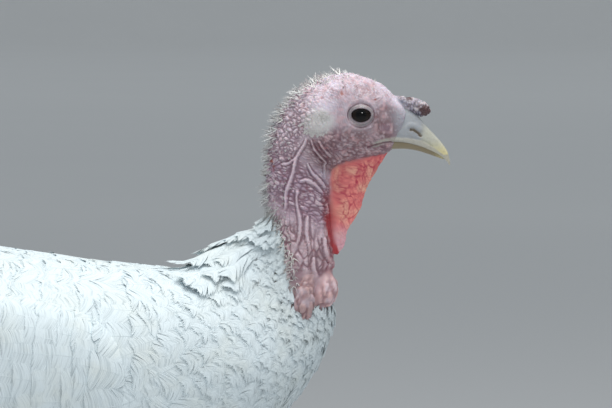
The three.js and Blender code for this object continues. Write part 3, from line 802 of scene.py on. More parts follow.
def bill_half(stations, rings, arch):
    """Rings of half a bill: an arch from one cutting edge over the ridge, and back across the inside."""
    ridge_x, ridge_z, edge_x, edge_z, half = np.moveaxis(along(stations, np.linspace(0, len(stations) - 1, rings)), -1, 0)
    turn = np.linspace(-math.pi / 2, math.pi / 2, arch)
    share = 1 - np.cos(turn)
    outer = np.stack([
        ridge_x[:, None] + (edge_x - ridge_x)[:, None] * share,
        half[:, None] * power(np.sin(turn), 0.85),
        ridge_z[:, None] + (edge_z - ridge_z)[:, None] * share,
    ], axis=-1)
    inside = np.linspace(1, -1, 12)[1:-1]
    hollow = 0.12 * (1 - inside**2)
    inner = np.stack([
        edge_x[:, None] + (ridge_x - edge_x)[:, None] * hollow,
        half[:, None] * inside,
        edge_z[:, None] + (ridge_z - edge_z)[:, None] * hollow,
    ], axis=-1)
    return np.concatenate([outer, inner], axis=1)


def carve_bill(points, triangles):
    """Nostril, flap, cutting edge and growth lines of the upper half."""
    out = normals(points, triangles)
    flat = points[:, (0, 2)]
    aside = ramp(np.abs(points[:, 1]), 1, 3)
    nostril = distance_to_way([(31.4, -8.2), (33.4, -8.8), (35.8, -10.4), (37.6, -12.4)], flat)
    flap = distance_to_way([(30.5, -5.6), (33.6, -6), (36.8, -8.2)], flat)
    strip = distance_to_way([(8, -13.6), (20, -12.6), (30, -13.2), (38.6, -15.2), (45, -19)], flat)
    height = -1.5 * ramp(nostril, 0.95, 0.15) * aside + 0.55 * ramp(flap, 2.4, 0.6) * aside
    height -= 0.3 * ramp(strip, 0.8, 0.1) * aside
    cere = ramp(points[:, 0] - 0.25 * points[:, 2], 44, 38)
    height += 0.22 * cere * (0.6 + 0.4 * mottle(points, 2.5, 111))
    height += 0.05 * np.sin(points[:, 0] * 3.1 - points[:, 2] * 1.7 + mottle(points, 5, 112)) * (1 - cere)
    below = flat[:, 1] - np.interp(flat[:, 0], [8, 20, 30, 38.6, 45, 52], [-13.6, -12.6, -13.2, -15.2, -19, -24])
    return points + out * height[:, None], nostril, cere, ramp(below, 0.3, -0.8)


HORN = np.array([0.50, 0.50, 0.43])
HORN_TIP = np.array([0.80, 0.71, 0.36])
CERE = np.array([0.36, 0.38, 0.41])
HORN_DARK = np.array([0.20, 0.15, 0.10])

bill_points, bill_triangles = lofted(bill_half(UPPER_BILL, 110, 60))
bill_points, nostril, cere, edge_strip = carve_bill(bill_points, bill_triangles)
bill_tint = np.tile(HORN, (len(bill_points), 1))
bill_tint = tinted(bill_tint, HORN_TIP, ramp(bill_points[:, 2], -14, -26))
bill_tint = tinted(bill_tint, CERE, cere)
bill_tint = tinted(bill_tint, PALE_HORN, 0.9 * edge_strip)
# The nostril is painted dark, as painted shade in its opening.
bill_tint = tinted(bill_tint, HORN_DARK, ramp(nostril, 1.1, 0.5) * (np.abs(bill_points[:, 1]) > 2))

lower_points, lower_triangles = lofted(bill_half(LOWER_BILL, 60, 40))
lower_tint = tinted(np.tile(HORN_TIP, (len(lower_points), 1)), HORN_DARK, 0.85 * ramp(lower_points[:, 0], 56, 44))


# %% The finish of horn
def horn_finish(name, coat, rough):
    """Horn is smooth and slightly see-through, with faint lines along its growth."""
    horn = Finish(name, coat_weight=coat, coat_roughness=0.25, subsurface_weight=0.08)
    horn.set("Subsurface Radius", (0.004, 0.003, 0.002))
    horn.set("Subsurface Scale", 1)
    grain = horn.noise(2.2, 5)
    horn.set("Base Color", horn.mixed(horn.read("tint"), (0.30, 0.27, 0.2), horn.stepped(grain, 0.5, 0.85) * 0.5))
    horn.set("Roughness", horn.stepped(grain, 0.2, 0.8) * 0.2 + rough)
    horn.bumped(grain, 0.15)
    return horn.material


horn = horn_finish("horn", 0.25, 0.35)
upper_bill = piece("bill_upper_horn", bill_points, bill_triangles, horn, tint=bill_tint)
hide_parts("bill_upper")
lower_bill = piece("bill_lower_horn", lower_points, lower_triangles, horn, tint=lower_tint)
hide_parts("bill_lower")

# %% [markdown]
# ## The eyes
# The eye is a plain ball behind the lids. What makes it alive is its gloss: a smooth, glossy surface
# over a nearly black iris, which shows one bright spot of sky. The iris and the pupil are painted by
# the distance from the ball's outer pole, in the material.

# %% Set the eyes
def ball(middle, radius, rings=48, sides=64):
    """A smooth ball with its poles to the bird's sides."""
    polar = np.linspace(0.02, math.pi - 0.02, rings)
    turn = np.arange(sides) * 2 * math.pi / sides
    p, t = np.meshgrid(polar, turn, indexing="ij")
    return np.stack([np.sin(p) * np.cos(t), np.cos(p), np.sin(p) * np.sin(t)], axis=-1) * radius + middle


eye_finish = Finish("wet eye", roughness=0.06, specular_ior_level=0.25)
iris_share = eye_finish.read("relief", "Fac")
iris_lines = eye_finish.noise(0.8, 4)
iris = eye_finish.mixed((0.016, 0.009, 0.006), (0.006, 0.004, 0.003), iris_lines)
eye_finish.set("Base Color", eye_finish.mixed(iris, (0.0015, 0.0015, 0.0018), eye_finish.stepped(iris_share, 0.42, 0.36)))
for name, side in SIDES.items():
    grid = ball((0, side * EYE["aside"], EYE["up"]), EYE["radius"])
    points, triangles = lofted(grid)
    from_pole = np.hypot(points[:, 0], points[:, 2] - EYE["up"]) / EYE["radius"]
    eye = piece("eye_ball_" + name, points, triangles, eye_finish.material, relief=from_pole)
    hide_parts("eye_" + name)

# %% [markdown]
# ## Snood, wattle and caruncles
# Three soft growths hang on a turkey's head. The snood is a fleshy finger over the bill, the wattle
# is a thin fold of skin under the throat, and the caruncles are warty lumps where the feathers
# start. They are lofted on their own and later grow into the skin.

# %% Loft limbs and lumps
def limb(way, rings, sides, flat=1.0, tip=0.5, aside=(0, 1, 0)):
    """Rings round a smooth way through x, y, z, radius, flat times as wide as they are deep."""
    u = np.linspace(0, len(way) - 1, rings)
    at = along(way, u)
    middle, radius = at[:, :3], at[:, 3].copy()
    radius[0] *= tip
    radius[-1] *= tip
    ahead = unit(np.gradient(middle, axis=0))
    aside = np.asarray(aside, float)
    wide = unit(aside - (ahead @ aside)[:, None] * ahead)
    high = np.cross(ahead, wide)
    turn = np.arange(sides) * 2 * math.pi / sides
    spokes = wide[:, None] * (np.cos(turn) * flat)[:, None] + high[:, None] * np.sin(turn)[:, None]
    return middle[:, None] + spokes * radius[:, None, None]


def ended(way, steps=5):
    """The way with its last radius closed in a round end."""
    way = [tuple(row) for row in way]
    *_, before, last = [np.array(row, float) for row in way]
    run = unit((last - before)[:3])
    closing = np.linspace(0, math.pi / 2, steps + 1)[1:-1]
    extra = [(*(last[:3] + run * last[3] * math.sin(a)), last[3] * math.cos(a)) for a in closing]
    return way[:-1] + [tuple(last)] + extra


flesh = []  # forms that grow into the skin: points, triangles, tint, relief

SNOOD = [(12, 0, 7, 5), (19, 0, 8.4, 4.6), (24.2, 0, 8, 4.4), (30, 0, 7, 4.7), (35.5, 0.5, 5.4, 4.9), (39.5, 1, 3.8, 4.4), (42.2, 1.2, 2.7, 2.8), (43.6, 1.3, 2.2, 0.9)]
snood_points, snood_triangles = lofted(limb(SNOOD, 80, 72))
snood_bend = snood_points + np.stack([mottle(snood_points, 3, 121)] * 3, axis=-1)
near, following, _ = pebbles(snood_bend, (1.7, 3.2, 3.2), 122)
crust = ramp(mottle(snood_points, 2.2, 124) + 0.5 * mottle(snood_points, 1.0, 125), 0, 0.7)
snood_relief = 0.6 * ramp(following - near, 0, 0.4) + 0.3 * mottle(snood_points, 3.5, 123) + 0.2 * crust - 0.45
snood_points = snood_points + normals(snood_points, snood_triangles) * snood_relief[:, None]
ragged = 0.35 * mottle(snood_points, 2.0, 127) + 0.2 * mottle(snood_points, 0.9, 128)
scab = ramp(np.linalg.norm((snood_points - (40.5, 0, 4)) / (5.2, 9, 3.6), axis=1) + ragged, 1.15, 0.8)
scab = np.maximum(scab, ramp(np.linalg.norm((snood_points - (30.4, -1, 10.5)) / (2.6, 3, 2.2), axis=1) + ragged, 1.1, 0.6))
# The hollows between the snood's bumps are painted slate, as painted shade.
snood_tint = tinted(np.tile(np.array([0.40, 0.36, 0.44]), (len(snood_points), 1)), SLATE, ramp(snood_relief, 0.05, -0.35))
snood_tint = tinted(snood_tint, np.array([0.20, 0.22, 0.29]), 0.7 * ramp(mottle(snood_points, 4.5, 126), 0, 0.6))
snood_tint = tinted(snood_tint, np.array([0.66, 0.60, 0.62]), 0.6 * crust)
snood_tint = tinted(snood_tint, LILAC, 0.6 * ramp(snood_points[:, 0], 26, 19))
snood_tint = tinted(snood_tint, np.array([0.10, 0.05, 0.055]), scab)
flesh.append((snood_points, snood_triangles, snood_tint, snood_relief))

# %% Hang the wattle
WATTLE = [  # from the chin down: front x, z; rear x, z; half the thickness
    (20, -17, 6, -17, 3.6), (17.5, -22.5, -8, -24, 3.2), (11, -32.5, -20, -30, 2.9), (4, -45.5, -26, -44, 2.6),
    (-0.6, -59.5, -28, -58, 2.3), (-7.8, -71.2, -27, -70, 2.1), (-9.8, -80.5, -24, -81, 2.2), (-14, -87, -20, -86.5, 1.9),
]
wattle_rows = along(WATTLE, np.linspace(0, len(WATTLE) - 1, 150))
turn = np.arange(128) * 2 * math.pi / 128
front, rear = wattle_rows[:, None, 0:2], wattle_rows[:, None, 2:4]
across = (0.5 - 0.5 * power(np.cos(turn), 0.62))[None, :, None]
flat = front + (rear - front) * across
thin = 0.45 + 0.55 * ramp(across[..., 0], 0, 0.5)
wave = 1.3 * np.sin(wattle_rows[:, None, 1] / 11 + 3 * across[..., 0]) * ramp(across[..., 0], 0.8, 0.2) * ramp(wattle_rows[:, None, 1], -22, -40)
thickness = wattle_rows[:, None, 4] * power(np.sin(turn), 0.7)[None] * thin + 0.6 * wave
wattle_points, wattle_triangles = lofted(np.stack([flat[..., 0], thickness, flat[..., 1]], axis=-1))
wattle_bend = wattle_points + 2.6 * np.stack([mottle(wattle_points, 6, salt) for salt in (131, 132, 133)], axis=-1)
vein_near, vein_next, _ = pebbles(wattle_bend, (4.2, 9, 6.2), 134)
small_near, small_next, _ = pebbles(wattle_bend, (1.7, 6, 2.1), 137)
veins = ramp(vein_next - vein_near, 0.22, 0.0)
small_veins = ramp(small_next - small_near, 0.34, 0.02)
wattle_relief = 0.35 * ramp(vein_next - vein_near, 0, 0.4) + 0.16 * ramp(small_next - small_near, 0, 0.4) - 0.2
wattle_points = wattle_points + normals(wattle_points, wattle_triangles) * wattle_relief[:, None]
CORAL = np.array([1.0, 0.31, 0.27])
APRICOT = np.array([1.0, 0.60, 0.42])
CRIMSON = np.array([0.56, 0.03, 0.08])
wattle_tint = np.tile(CORAL, (len(wattle_points), 1))
wattle_tint = tinted(wattle_tint, APRICOT, 0.75 * ramp(mottle(wattle_points, 5, 138), -0.3, 0.7) * ramp(wattle_points[:, 2], -26, -34))
vein_strength = 0.35 + 0.5 * ramp(mottle(wattle_points, 8, 139), -0.5, 0.6)
wattle_tint = tinted(wattle_tint, CRIMSON, 0.8 * vein_strength * veins + 0.4 * small_veins)
stripes = ramp(mottle(wattle_points * (1, 1, 0.28), 3.2, 140), -0.1, 0.7)
wattle_tint = tinted(wattle_tint, CRIMSON, 0.55 * stripes * ramp(wattle_points[:, 2], -62, -30))
wattle_tint = tinted(wattle_tint, BLUSH * (0.95, 0.75, 0.8), 0.75 * ramp(wattle_points[:, 2], -64, -78))
from_strip = distance_to_way([(-20.5, -57), (-19.8, -66), (-17.5, -78), (-14.5, -88)], wattle_points[:, (0, 2)])
wattle_tint = tinted(wattle_tint, SCARLET * 1.25, ramp(from_strip, 2.4, 1.2))
flesh.append((wattle_points, wattle_triangles, wattle_tint, wattle_relief))

# %% Gather the caruncles
PALE_FLESH = np.array([0.66, 0.44, 0.44])
CARUNCLES = [
    [(-31, -12, -98, 3), (-33.5, -15.5, -104, 5), (-35, -18.6, -111, 7), (-35.8, -20.6, -118, 7.2), (-35.6, -21, -122.5, 5)],
    [(-31, 12, -97, 3), (-33.5, 15.5, -103, 4.8), (-35, 18.6, -109, 6.6), (-35.8, 20.6, -116, 6.8), (-35.6, 21, -120, 4.6)],
    [(-25, -2, -92, 4), (-23.6, -5, -100, 7), (-22.8, -7, -107, 8.8), (-24.2, -8, -113, 8.6), (-26, -8, -117, 6)],
]
for way in CARUNCLES:
    points, triangles = lofted(limb(ended(way), 56, 56))
    bend = points + 1.2 * np.stack([mottle(points, 5, 141)] * 3, axis=-1)
    near, following, _ = pebbles(bend, (4.6, 4.6, 14), 142)
    relief_here = 1.0 * ramp(following - near, 0, 0.35) + 0.35 * mottle(points, 2.6, 143) - 0.8
    points = points + normals(points, triangles) * relief_here[:, None]
    # The low ground between the caruncles' lumps is painted mauve, as painted shade.
    tint_here = tinted(np.tile(PALE_FLESH, (len(points), 1)), MAUVE, 0.8 * ramp(relief_here, 0, -0.6))
    tint_here = tinted(tint_here, LILAC, 0.4 * ramp(mottle(points, 3, 144), 0, 0.8))
    tint_here *= 1.15 if way is CARUNCLES[2] else 0.8
    flesh.append((points, triangles, tint_here, relief_here))

# %% [markdown]
# ## Legs and feet
# The thigh and the drumstick are flesh under feathers. From the hock down a turkey's leg is bare and
# scaly, with broad plates down the front of the shank and on top of each toe, and small pebbled
# scales elsewhere. Plates are cut by a saw wave along the limb. The soles are pressed flat on the
# floor, where the CAD model has its flats.

# %% Shape the legs
HOCK = {"x": -284, "z": 128, "aside": 58}
KNEE = {"x": -216, "z": 262, "aside": 52}
FOOT = {"x": -254, "aside": 62, "stagger": 9}
SHANK_RADIUS = 6.2
TOE_RADIUS = 5.2
TOES = {  # angle out from straight ahead, length, claw
    "inner": (-30, 54, 14), "middle": (3, 74, 15), "outer": (34, 57, 13), "hind": (168, 25, 11),
}


def foot_x(side):
    return FOOT["x"] - side * FOOT["stagger"]


def thigh_way(side, drawn=0.0):
    at = lambda px, aside, pz, radius: (px, side * aside, FLOOR + pz, radius - drawn)
    return [
        at(KNEE["x"] + 12, KNEE["aside"] - 10, KNEE["z"] + 32, 40),
        at(KNEE["x"] - 8, KNEE["aside"], KNEE["z"] - 15, 40),
        at(KNEE["x"] - 38, KNEE["aside"] + 2, KNEE["z"] - 65, 27),
        at(HOCK["x"] + 8, HOCK["aside"], HOCK["z"] + 28, 13),
        at(HOCK["x"] + 2, HOCK["aside"], HOCK["z"] + 9, 9),
    ]


def scaled_leg(points, triangles, along_limb, plated):
    """Plates where plated is 1 and small scales elsewhere."""
    near, following, number = pebbles(points, 2.1, 151)
    small = 0.22 * ramp(following - near, 0.02, 0.4)
    step = along_limb / 3.6 % 1
    plates = 0.5 * ramp(step, 0, 0.22) * ramp(step, 1, 0.55) + 0.12
    relief = small + (plates - small) * plated - 0.15
    return points + normals(points, triangles) * relief[:, None], relief


LEG = np.array([0.60, 0.40, 0.33])
LEG_DARK = np.array([0.34, 0.19, 0.15])
for side in SIDES.values():
    way = thigh_way(side)
    inset = [6, 11, 9, 4, 2.6]
    way = [(*row[:3], row[3] - less) for row, less in zip(way, inset)]
    points, triangles = lofted(limb(way, 40, 48, flat=0.72))
    flesh.append((points, triangles, np.tile((0.72, 0.55, 0.52), (len(points), 1)), np.zeros(len(points))))

    place = lambda share, height, radius: (
        HOCK["x"] + (foot_x(side) - HOCK["x"]) * share,
        side * (HOCK["aside"] + (FOOT["aside"] - HOCK["aside"]) * share),
        FLOOR + height, radius,
    )
    way = [
        place(-0.16, HOCK["z"] + 24, SHANK_RADIUS), place(-0.06, HOCK["z"] + 10, SHANK_RADIUS + 0.8),
        place(0, HOCK["z"], SHANK_RADIUS + 2.4), place(0.12, HOCK["z"] * 0.9, SHANK_RADIUS + 0.6),
        place(0.4, HOCK["z"] * 0.62, SHANK_RADIUS - 0.3), place(0.75, HOCK["z"] * 0.3, SHANK_RADIUS - 0.3),
        place(0.95, TOE_RADIUS + 10, SHANK_RADIUS + 0.6), place(1, TOE_RADIUS + 1.5, SHANK_RADIUS + 1.2),
    ]
    points, triangles = lofted(limb(way, 210, 56, flat=0.85, tip=0.7))
    front = ramp(points[:, 0] - np.interp(points[:, 2], [FLOOR, FLOOR + HOCK["z"]], [foot_x(side), HOCK["x"]]), 1, 3.4)
    points, relief_here = scaled_leg(points, triangles, -points[:, 2], front)
    # The grooves between the scales are painted darker, as painted shade; the mottle is the leg's own tone.
    tint_here = tinted(np.tile(LEG, (len(points), 1)), LEG_DARK, 0.8 * ramp(relief_here, 0, -0.15) + 0.2 * ramp(mottle(points, 8, 152), 0, 1))
    flesh.append((points, triangles, tint_here, relief_here))

    forms = []
    for angle, long, claw in TOES.values():
        thick = TOE_RADIUS * (0.8 if long < 40 else 1)
        turn = math.radians(angle)
        at = lambda far, up, radius: (
            foot_x(side) + math.cos(turn) * far, side * (FOOT["aside"] + math.sin(turn) * far), FLOOR + up, radius,
        )
        way = [
            at(-2, thick + 3, thick + 1), at(long * 0.14, thick + 2, thick + 0.3), at(long * 0.28, thick + 1, thick + 0.3),
            at(long * 0.42, thick - 0.3, thick - 0.8), at(long * 0.56, thick - 0.7, thick),
            at(long * 0.7, thick - 1, thick - 0.9), at(long * 0.85, thick - 1, thick - 0.3), at(long, thick - 1.2, thick * 0.72),
        ]
        points, triangles = lofted(limb(ended(way), 100, 44, tip=0.7))
        far = np.hypot(points[:, 0] - foot_x(side), points[:, 1] - side * FOOT["aside"])
        points, relief_here = scaled_leg(points, triangles, far, ramp(points[:, 2] - FLOOR, thick, thick + 2.5))
        forms.append((points, triangles, relief_here))
    grid = ball((foot_x(side) + 4, side * FOOT["aside"], FLOOR + 4.8), 1, 40, 48)
    middle = np.array([foot_x(side) + 4, side * FOOT["aside"], FLOOR + 4.8])
    points, triangles = lofted((grid - middle) * (11, 9, 6) + middle)
    forms.append((points, triangles, np.zeros(len(points))))
    for points, triangles, relief_here in forms:
        points[:, 2] = np.maximum(points[:, 2], FLOOR + 0.02 * (len(flesh) % 7))
        # The grooves between the scales are painted darker, as painted shade; the mottle is the leg's own tone.
        tint_here = tinted(np.tile(LEG, (len(points), 1)), LEG_DARK, 0.8 * ramp(relief_here, 0, -0.15) + 0.2 * ramp(mottle(points, 8, 152), 0, 1))
        flesh.append((points, triangles, tint_here, relief_here))
print("there are", len(flesh), "forms of flesh to join to the skin")

# %% Grow the claws
claw_forms = []
for side in SIDES.values():
    for angle, long, claw in TOES.values():
        thick = TOE_RADIUS * (0.8 if long < 40 else 1)
        turn = math.radians(angle)
        at = lambda far, up, radius: (
            foot_x(side) + math.cos(turn) * far, side * (FOOT["aside"] + math.sin(turn) * far), FLOOR + up, radius,
        )
        way = [
            at(long - 3, thick - 0.2, thick * 0.55), at(long + claw * 0.2, thick + 0.5, thick * 0.52),
            at(long + claw * 0.55, thick + 0.1, thick * 0.42), at(long + claw * 0.9, 2.6, 1.1), at(long + claw, 1.6, 0.5),
        ]
        claw_forms.append(lofted(limb(way, 40, 28, flat=0.9)))

# %% [markdown]
# ## One skin
# All the flesh now grows together. A Boolean union joins closed meshes exactly and needs no even
# grid, so the head keeps its half-millimetre cells and the trunk its wide ones. A union makes a hard
# crease where forms meet, so the points near each seam are then eased towards their neighbours. The
# colours are carried over by looking up the nearest point of the forms that went in.

# %% Join the flesh
def bare_object(name, points, triangles):
    mesh = bpy.data.meshes.new(name)
    mesh.from_pydata(placed(points).tolist(), [], triangles.tolist())
    made = bpy.data.objects.new(name, mesh)
    bpy.context.scene.collection.objects.link(made)
    return made


def union(first, others):
    """The points and triangles of the union of forms."""
    whole = bare_object("whole", *first)
    for points, triangles in others:
        part = bare_object("part", points, triangles)
        join = whole.modifiers.new("join", "BOOLEAN")
        join.operation, join.solver, join.object = "UNION", "MANIFOLD", part
        with bpy.context.temp_override(object=whole):
            bpy.ops.object.modifier_apply(modifier="join")
        bpy.data.objects.remove(part)
    whole.data.calc_loop_triangles()
    points = np.zeros(3 * len(whole.data.vertices), np.float32)
    whole.data.vertices.foreach_get("co", points)
    triangles = np.zeros(3 * len(whole.data.loop_triangles), np.int32)
    whole.data.loop_triangles.foreach_get("vertices", triangles)
    bpy.data.objects.remove(whole)
    return (points.reshape(-1, 3).astype(float) - DRAWING_POINT) / MM, triangles.reshape(-1, 3)


sources = [(skin_points, skin_triangles, skin_tint, relief)] + flesh
joined_points, joined_triangles = union((skin_points, skin_triangles), [form[:2] for form in flesh])
print("joined, the skin has", len(joined_triangles), "triangles")

# %% Carry over the colours and ease the seams
source_points = np.vstack([form[0] for form in sources])
source_of = np.concatenate([np.full(len(form[0]), i) for i, form in enumerate(sources)])
tree = KDTree(len(source_points))
for i, point in enumerate(source_points):
    tree.insert(point, i)
tree.balance()
found = np.array([tree.find(point)[1:] for point in joined_points])
nearest = found[:, 0].astype(int)
joined_tint = np.vstack([form[2] for form in sources])[nearest]
joined_relief = np.concatenate([form[3] for form in sources])[nearest]
joined_source = source_of[nearest]

edges = np.vstack([joined_triangles[:, (0, 1)], joined_triangles[:, (1, 2)], joined_triangles[:, (2, 0)]])
count = np.bincount(edges.ravel(), minlength=len(joined_points))


def neighbours_mean(values):
    """For each point, the mean of the values at the points beside it."""
    columns = []
    for column in np.atleast_2d(values.T):
        total = np.bincount(edges[:, 0], column[edges[:, 1]], len(column))
        total += np.bincount(edges[:, 1], column[edges[:, 0]], len(column))
        columns.append(total / np.maximum(count, 1))
    return np.stack(columns, axis=-1)


crossing = joined_source[edges[:, 0]] != joined_source[edges[:, 1]]
seam = np.zeros(len(joined_points))
seam[edges[crossing].ravel()] = 1
for _ in range(5):
    seam = np.maximum(seam, 0.75 * neighbours_mean(seam)[:, 0] * 1.6).clip(0, 1)
seam *= joined_points[:, 2] > FLOOR + 1
for _ in range(14):
    joined_points += 0.5 * seam[:, None] * (neighbours_mean(joined_points) - joined_points)
    joined_tint += 0.5 * seam[:, None] * (neighbours_mean(joined_tint) - joined_tint)

# %% The finish of skin
skin = Finish("bare skin", roughness=0.5, subsurface_weight=0.12, coat_weight=0.06, coat_roughness=0.35)
skin.set("Subsurface Radius", (1.0, 0.35, 0.2))
skin.set("Subsurface Scale", 0.0025)
pores = skin.noise(0.5, 4, 0.6)
blotches = skin.noise(3.2, 4, 0.6)
painted = skin.read("tint")
painted = skin.mixed(painted, (0.36, 0.10, 0.12), skin.stepped(blotches, 0.56, 0.8) * 0.28)
painted = skin.mixed(painted, (0.80, 0.70, 0.72), skin.stepped(pores, 0.55, 0.8) * 0.22)
skin.set("Base Color", painted)
skin.set("Roughness", skin.stepped(pores, 0.2, 0.8) * 0.2 + 0.42)
skin.bumped(pores, 0.18)
skin_piece = piece("skin", joined_points, joined_triangles, skin.material, tint=joined_tint, relief=joined_relief)
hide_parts("head", "neck_upper", "neck_lower", "trunk", "snood", "wattle")
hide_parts("caruncle_right", "caruncle_left", "caruncle_middle", "ear_right", "ear_left")
for name in SIDES:
    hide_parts("thigh_" + name, "shank_" + name, "foot_" + name)

claw_horn = horn_finish("claw horn", 0.15, 0.4)
claw_points = np.vstack([points for points, _ in claw_forms])
starts = np.cumsum([0] + [len(points) for points, _ in claw_forms[:-1]])
claw_triangles = np.vstack([triangles + start for (_, triangles), start in zip(claw_forms, starts)])
claw_tint = tinted(np.tile((0.45, 0.36, 0.27), (len(claw_points), 1)), HORN_DARK, ramp(claw_points[:, 2] - FLOOR, 6, 1))
claws = piece("claws", claw_points, claw_triangles, claw_horn, tint=claw_tint)
for name in SIDES:
    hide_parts(*["claw_" + toe + "_" + name for toe in TOES])

# %% [markdown]
# ## How a feather is made
# A feather is a shaft with a vane on either side, and a vane is a row of barbs that hook together
# like a zip. Where the zip opens, the vane splits, and at its rim the barbs' ends hang loose. So each
# vane here is a few sheets of mesh with narrow splits between them and a fringe of thin triangles
# along the rim. One feather is drawn flat, from 0 at its root to 1 at its tip, and is then bent over
# the bird. Drawing every barb would take ten times the mesh, so the finish draws the barbs instead.

# %% Draw feathers
FEATHER_KINDS = 10  # drawings of each kind
ALONG_BARB = np.array([[0, 0.4, 0.75, 1]])  # places along a barb


def vane_outline(s, start, widest, blunt):
    """Half the width of a vane at s along the shaft, as a share of the widest."""
    rise = np.clip((s - start) / (widest - start), 0, 1)
    fall = np.clip((s - widest) / (1 - widest), 0, 1)
    return np.where(s < widest, 0.55 + 0.45 * np.sin(rise * math.pi / 2), (1 - fall**blunt) ** 0.5)


def drawn_feather(
    chance, lines, start=0.4, widest=0.6, blunt=2.2, sweep=0.3, splits=2, gape=0.2, loose=0.0, fringe=3,
    fray=0.1, droop=0.025,
):
    """One flat feather: points as [along, across, up] in shares of its length, half width and length,
    triangles, and for each point where its barb leaves the shaft and how far out along it lies.

    Sweep is how far ahead of its root a barb ends, gape how wide the splits are, loose how uneven the
    rim is, fringe the loose ends between two lines and fray how long they are.
    """
    root = start + (1 - start) * (1 - (1 - np.linspace(0, 1, lines)) ** 1.5)
    points, triangles, marks, held = [], [], [], 0
    for hand in (-1, 1):
        reach = np.maximum(vane_outline(root, start, widest, blunt) * (1 - loose * chance.random(lines)), 0.03)
        ahead = 1.3 * sweep * np.minimum(reach * 1.2, 1) * (1 - root) ** 0.35
        cuts = np.sort(chance.choice(np.arange(2, lines - 2), splits, replace=False))
        for first, last in zip([0, *cuts], [*cuts, lines - 1]):
            count = last + 1 - first
            s, far, forward = [values[first : last + 1, None] for values in (root, reach, ahead)]
            drawn = gape * chance.uniform(0.3, 1) * (s.mean() - s)
            x = s + forward * ALONG_BARB**1.6 + drawn * ALONG_BARB**3
            z = -droop * ALONG_BARB**2 * far**2 + 0.007 * chance.normal() * ALONG_BARB**2
            sheet = np.stack([x, hand * far * ALONG_BARB, z], axis=-1)
            points.append(sheet.reshape(-1, 3))
            marks.append(np.stack([s + 0 * ALONG_BARB, 0.5 + 0.5 * hand * ALONG_BARB + 0 * s], axis=-1).reshape(-1, 2))
            triangles.append(planks(count, 4, ring=False) + held)
            held += len(points[-1])
            place = np.linspace(0, count - 1, fringe * (count - 1) + 1)
            rim, inner, out_s = [
                np.stack([np.interp(place, np.arange(count), column) for column in values.T], axis=-1)
                for values in (sheet[:, 3], sheet[:, 2], s)
            ]
            left, right = rim[:-1], rim[1:]
            length = fray * chance.uniform(0.25, 1, (len(left), 1))
            tips = (left + right) / 2 + length * (4 * (rim - inner)[:-1] + (0.25, 0, 0) * out_s[:-1] ** 5)
            tips[:, 0] += 0.3 * (right - left)[:, 0] * chance.normal(size=len(left))
            points.append(np.stack([left, right, tips], axis=1).reshape(-1, 3))
            marks.append(np.repeat(np.column_stack([out_s[:-1], 0.5 + 0.5 * hand + 0 * out_s[:-1]]), 3, axis=0))
            triangles.append(np.arange(held, held + 3 * len(left)).reshape(-1, 3))
            held += len(points[-1])
    shaft = np.linspace(0, 0.97, 6)
    wide, high = 0.045 * (1 - 0.8 * shaft), 0.007 * (1 - 0.7 * shaft)
    across = np.stack([wide, 0 * wide, -wide], axis=1)
    up = np.stack([0 * high, high, 0 * high], axis=1)
    points.append(np.stack([np.repeat(shaft[:, None], 3, axis=1), across, up], axis=-1).reshape(-1, 3))
    marks.append(np.full((18, 2), 0.5))
    a = held + (3 * np.arange(5)[:, None] + np.arange(2)).ravel()
    triangles.append(np.stack([a, a + 3, a + 4, a, a + 4, a + 1], axis=-1).reshape(-1, 3))
    points, triangles = np.vstack(points), np.vstack(triangles)
    a, b, c = [points[triangles[:, k]] for k in range(3)]
    under = np.cross(b - a, c - a)[:, 2] < 0
    triangles[under] = triangles[under][:, ::-1]
    return points, triangles, np.vstack(marks)


def drawings(seed, **shape):
    """Several drawings of one kind of feather."""
    chance = np.random.default_rng(seed)
    return [drawn_feather(chance, **shape) for _ in range(FEATHER_KINDS)]


body_kind = drawings(1, lines=11, start=0.36, widest=0.66, blunt=2.0, sweep=0.24, gape=0.22, loose=0.12, fringe=4, fray=0.13)
ruff_kind = drawings(2, lines=8, start=0.04, widest=0.55, blunt=1.7, sweep=0.3, gape=0.25, loose=0.2, fray=0.3)
flight_kind = drawings(3, lines=34, start=0.12, widest=0.8, blunt=3, sweep=0.06, splits=4, gape=0.05, loose=0.01, fringe=2, fray=0.03)
covert_kind = drawings(4, lines=14, start=0.3, widest=0.7, blunt=2.2, sweep=0.18, splits=3, gape=0.14, loose=0.05, fringe=4, fray=0.07)
print("a body feather has", len(body_kind[0][1]), "triangles")

# %% [markdown]
# ## Laying feathers
# Feathers are laid on a surface that can be read between its grid points. A root gets a place on
# it, and every point of the feather is carried along the surface from there, so a long feather
# bends round the body. It starts deep in the coat and ends on the outside, which is how feathers
# overlap like tiles without cutting into each other.

# %% Read a surface anywhere and lay feathers on it
class Surface:
    """A grid of points read between its rows and columns."""

    def __init__(self, grid, ring=True, outward=1):
        self.grid, self.ring = grid, ring
        self.rows, self.columns, _ = grid.shape
        self.down = np.gradient(grid, axis=0)
        wrapped = np.concatenate([grid[:, -1:], grid, grid[:, :1]], axis=1)
        self.across = (wrapped[:, 2:] - wrapped[:, :-2]) / 2 if ring else np.gradient(grid, axis=1)
        self.out = unit(np.cross(self.across, self.down)) * outward

    def read(self, r, c):
        """Place, way out, and steps along a row and a column."""
        r_in = np.clip(r, 0, self.rows - 1.001)
        beyond = (r - r_in)[..., None]
        c_in = c % self.columns if self.ring else np.clip(c, 0, self.columns - 1.001)
        r0, c0 = np.floor(r_in).astype(int), np.floor(c_in).astype(int)
        c1 = (c0 + 1) % self.columns
        a, b = (r_in - r0)[..., None], (c_in - c0)[..., None]
        values = []
        for field in (self.grid, self.out, self.down, self.across):
            upper = field[r0, c0] * (1 - b) + field[r0, c1] * b
            lower = field[r0 + 1, c0] * (1 - b) + field[r0 + 1, c1] * b
            values.append(upper * (1 - a) + lower * a)
        place, out, down, across = values
        return place + beyond * down, unit(out), down, across


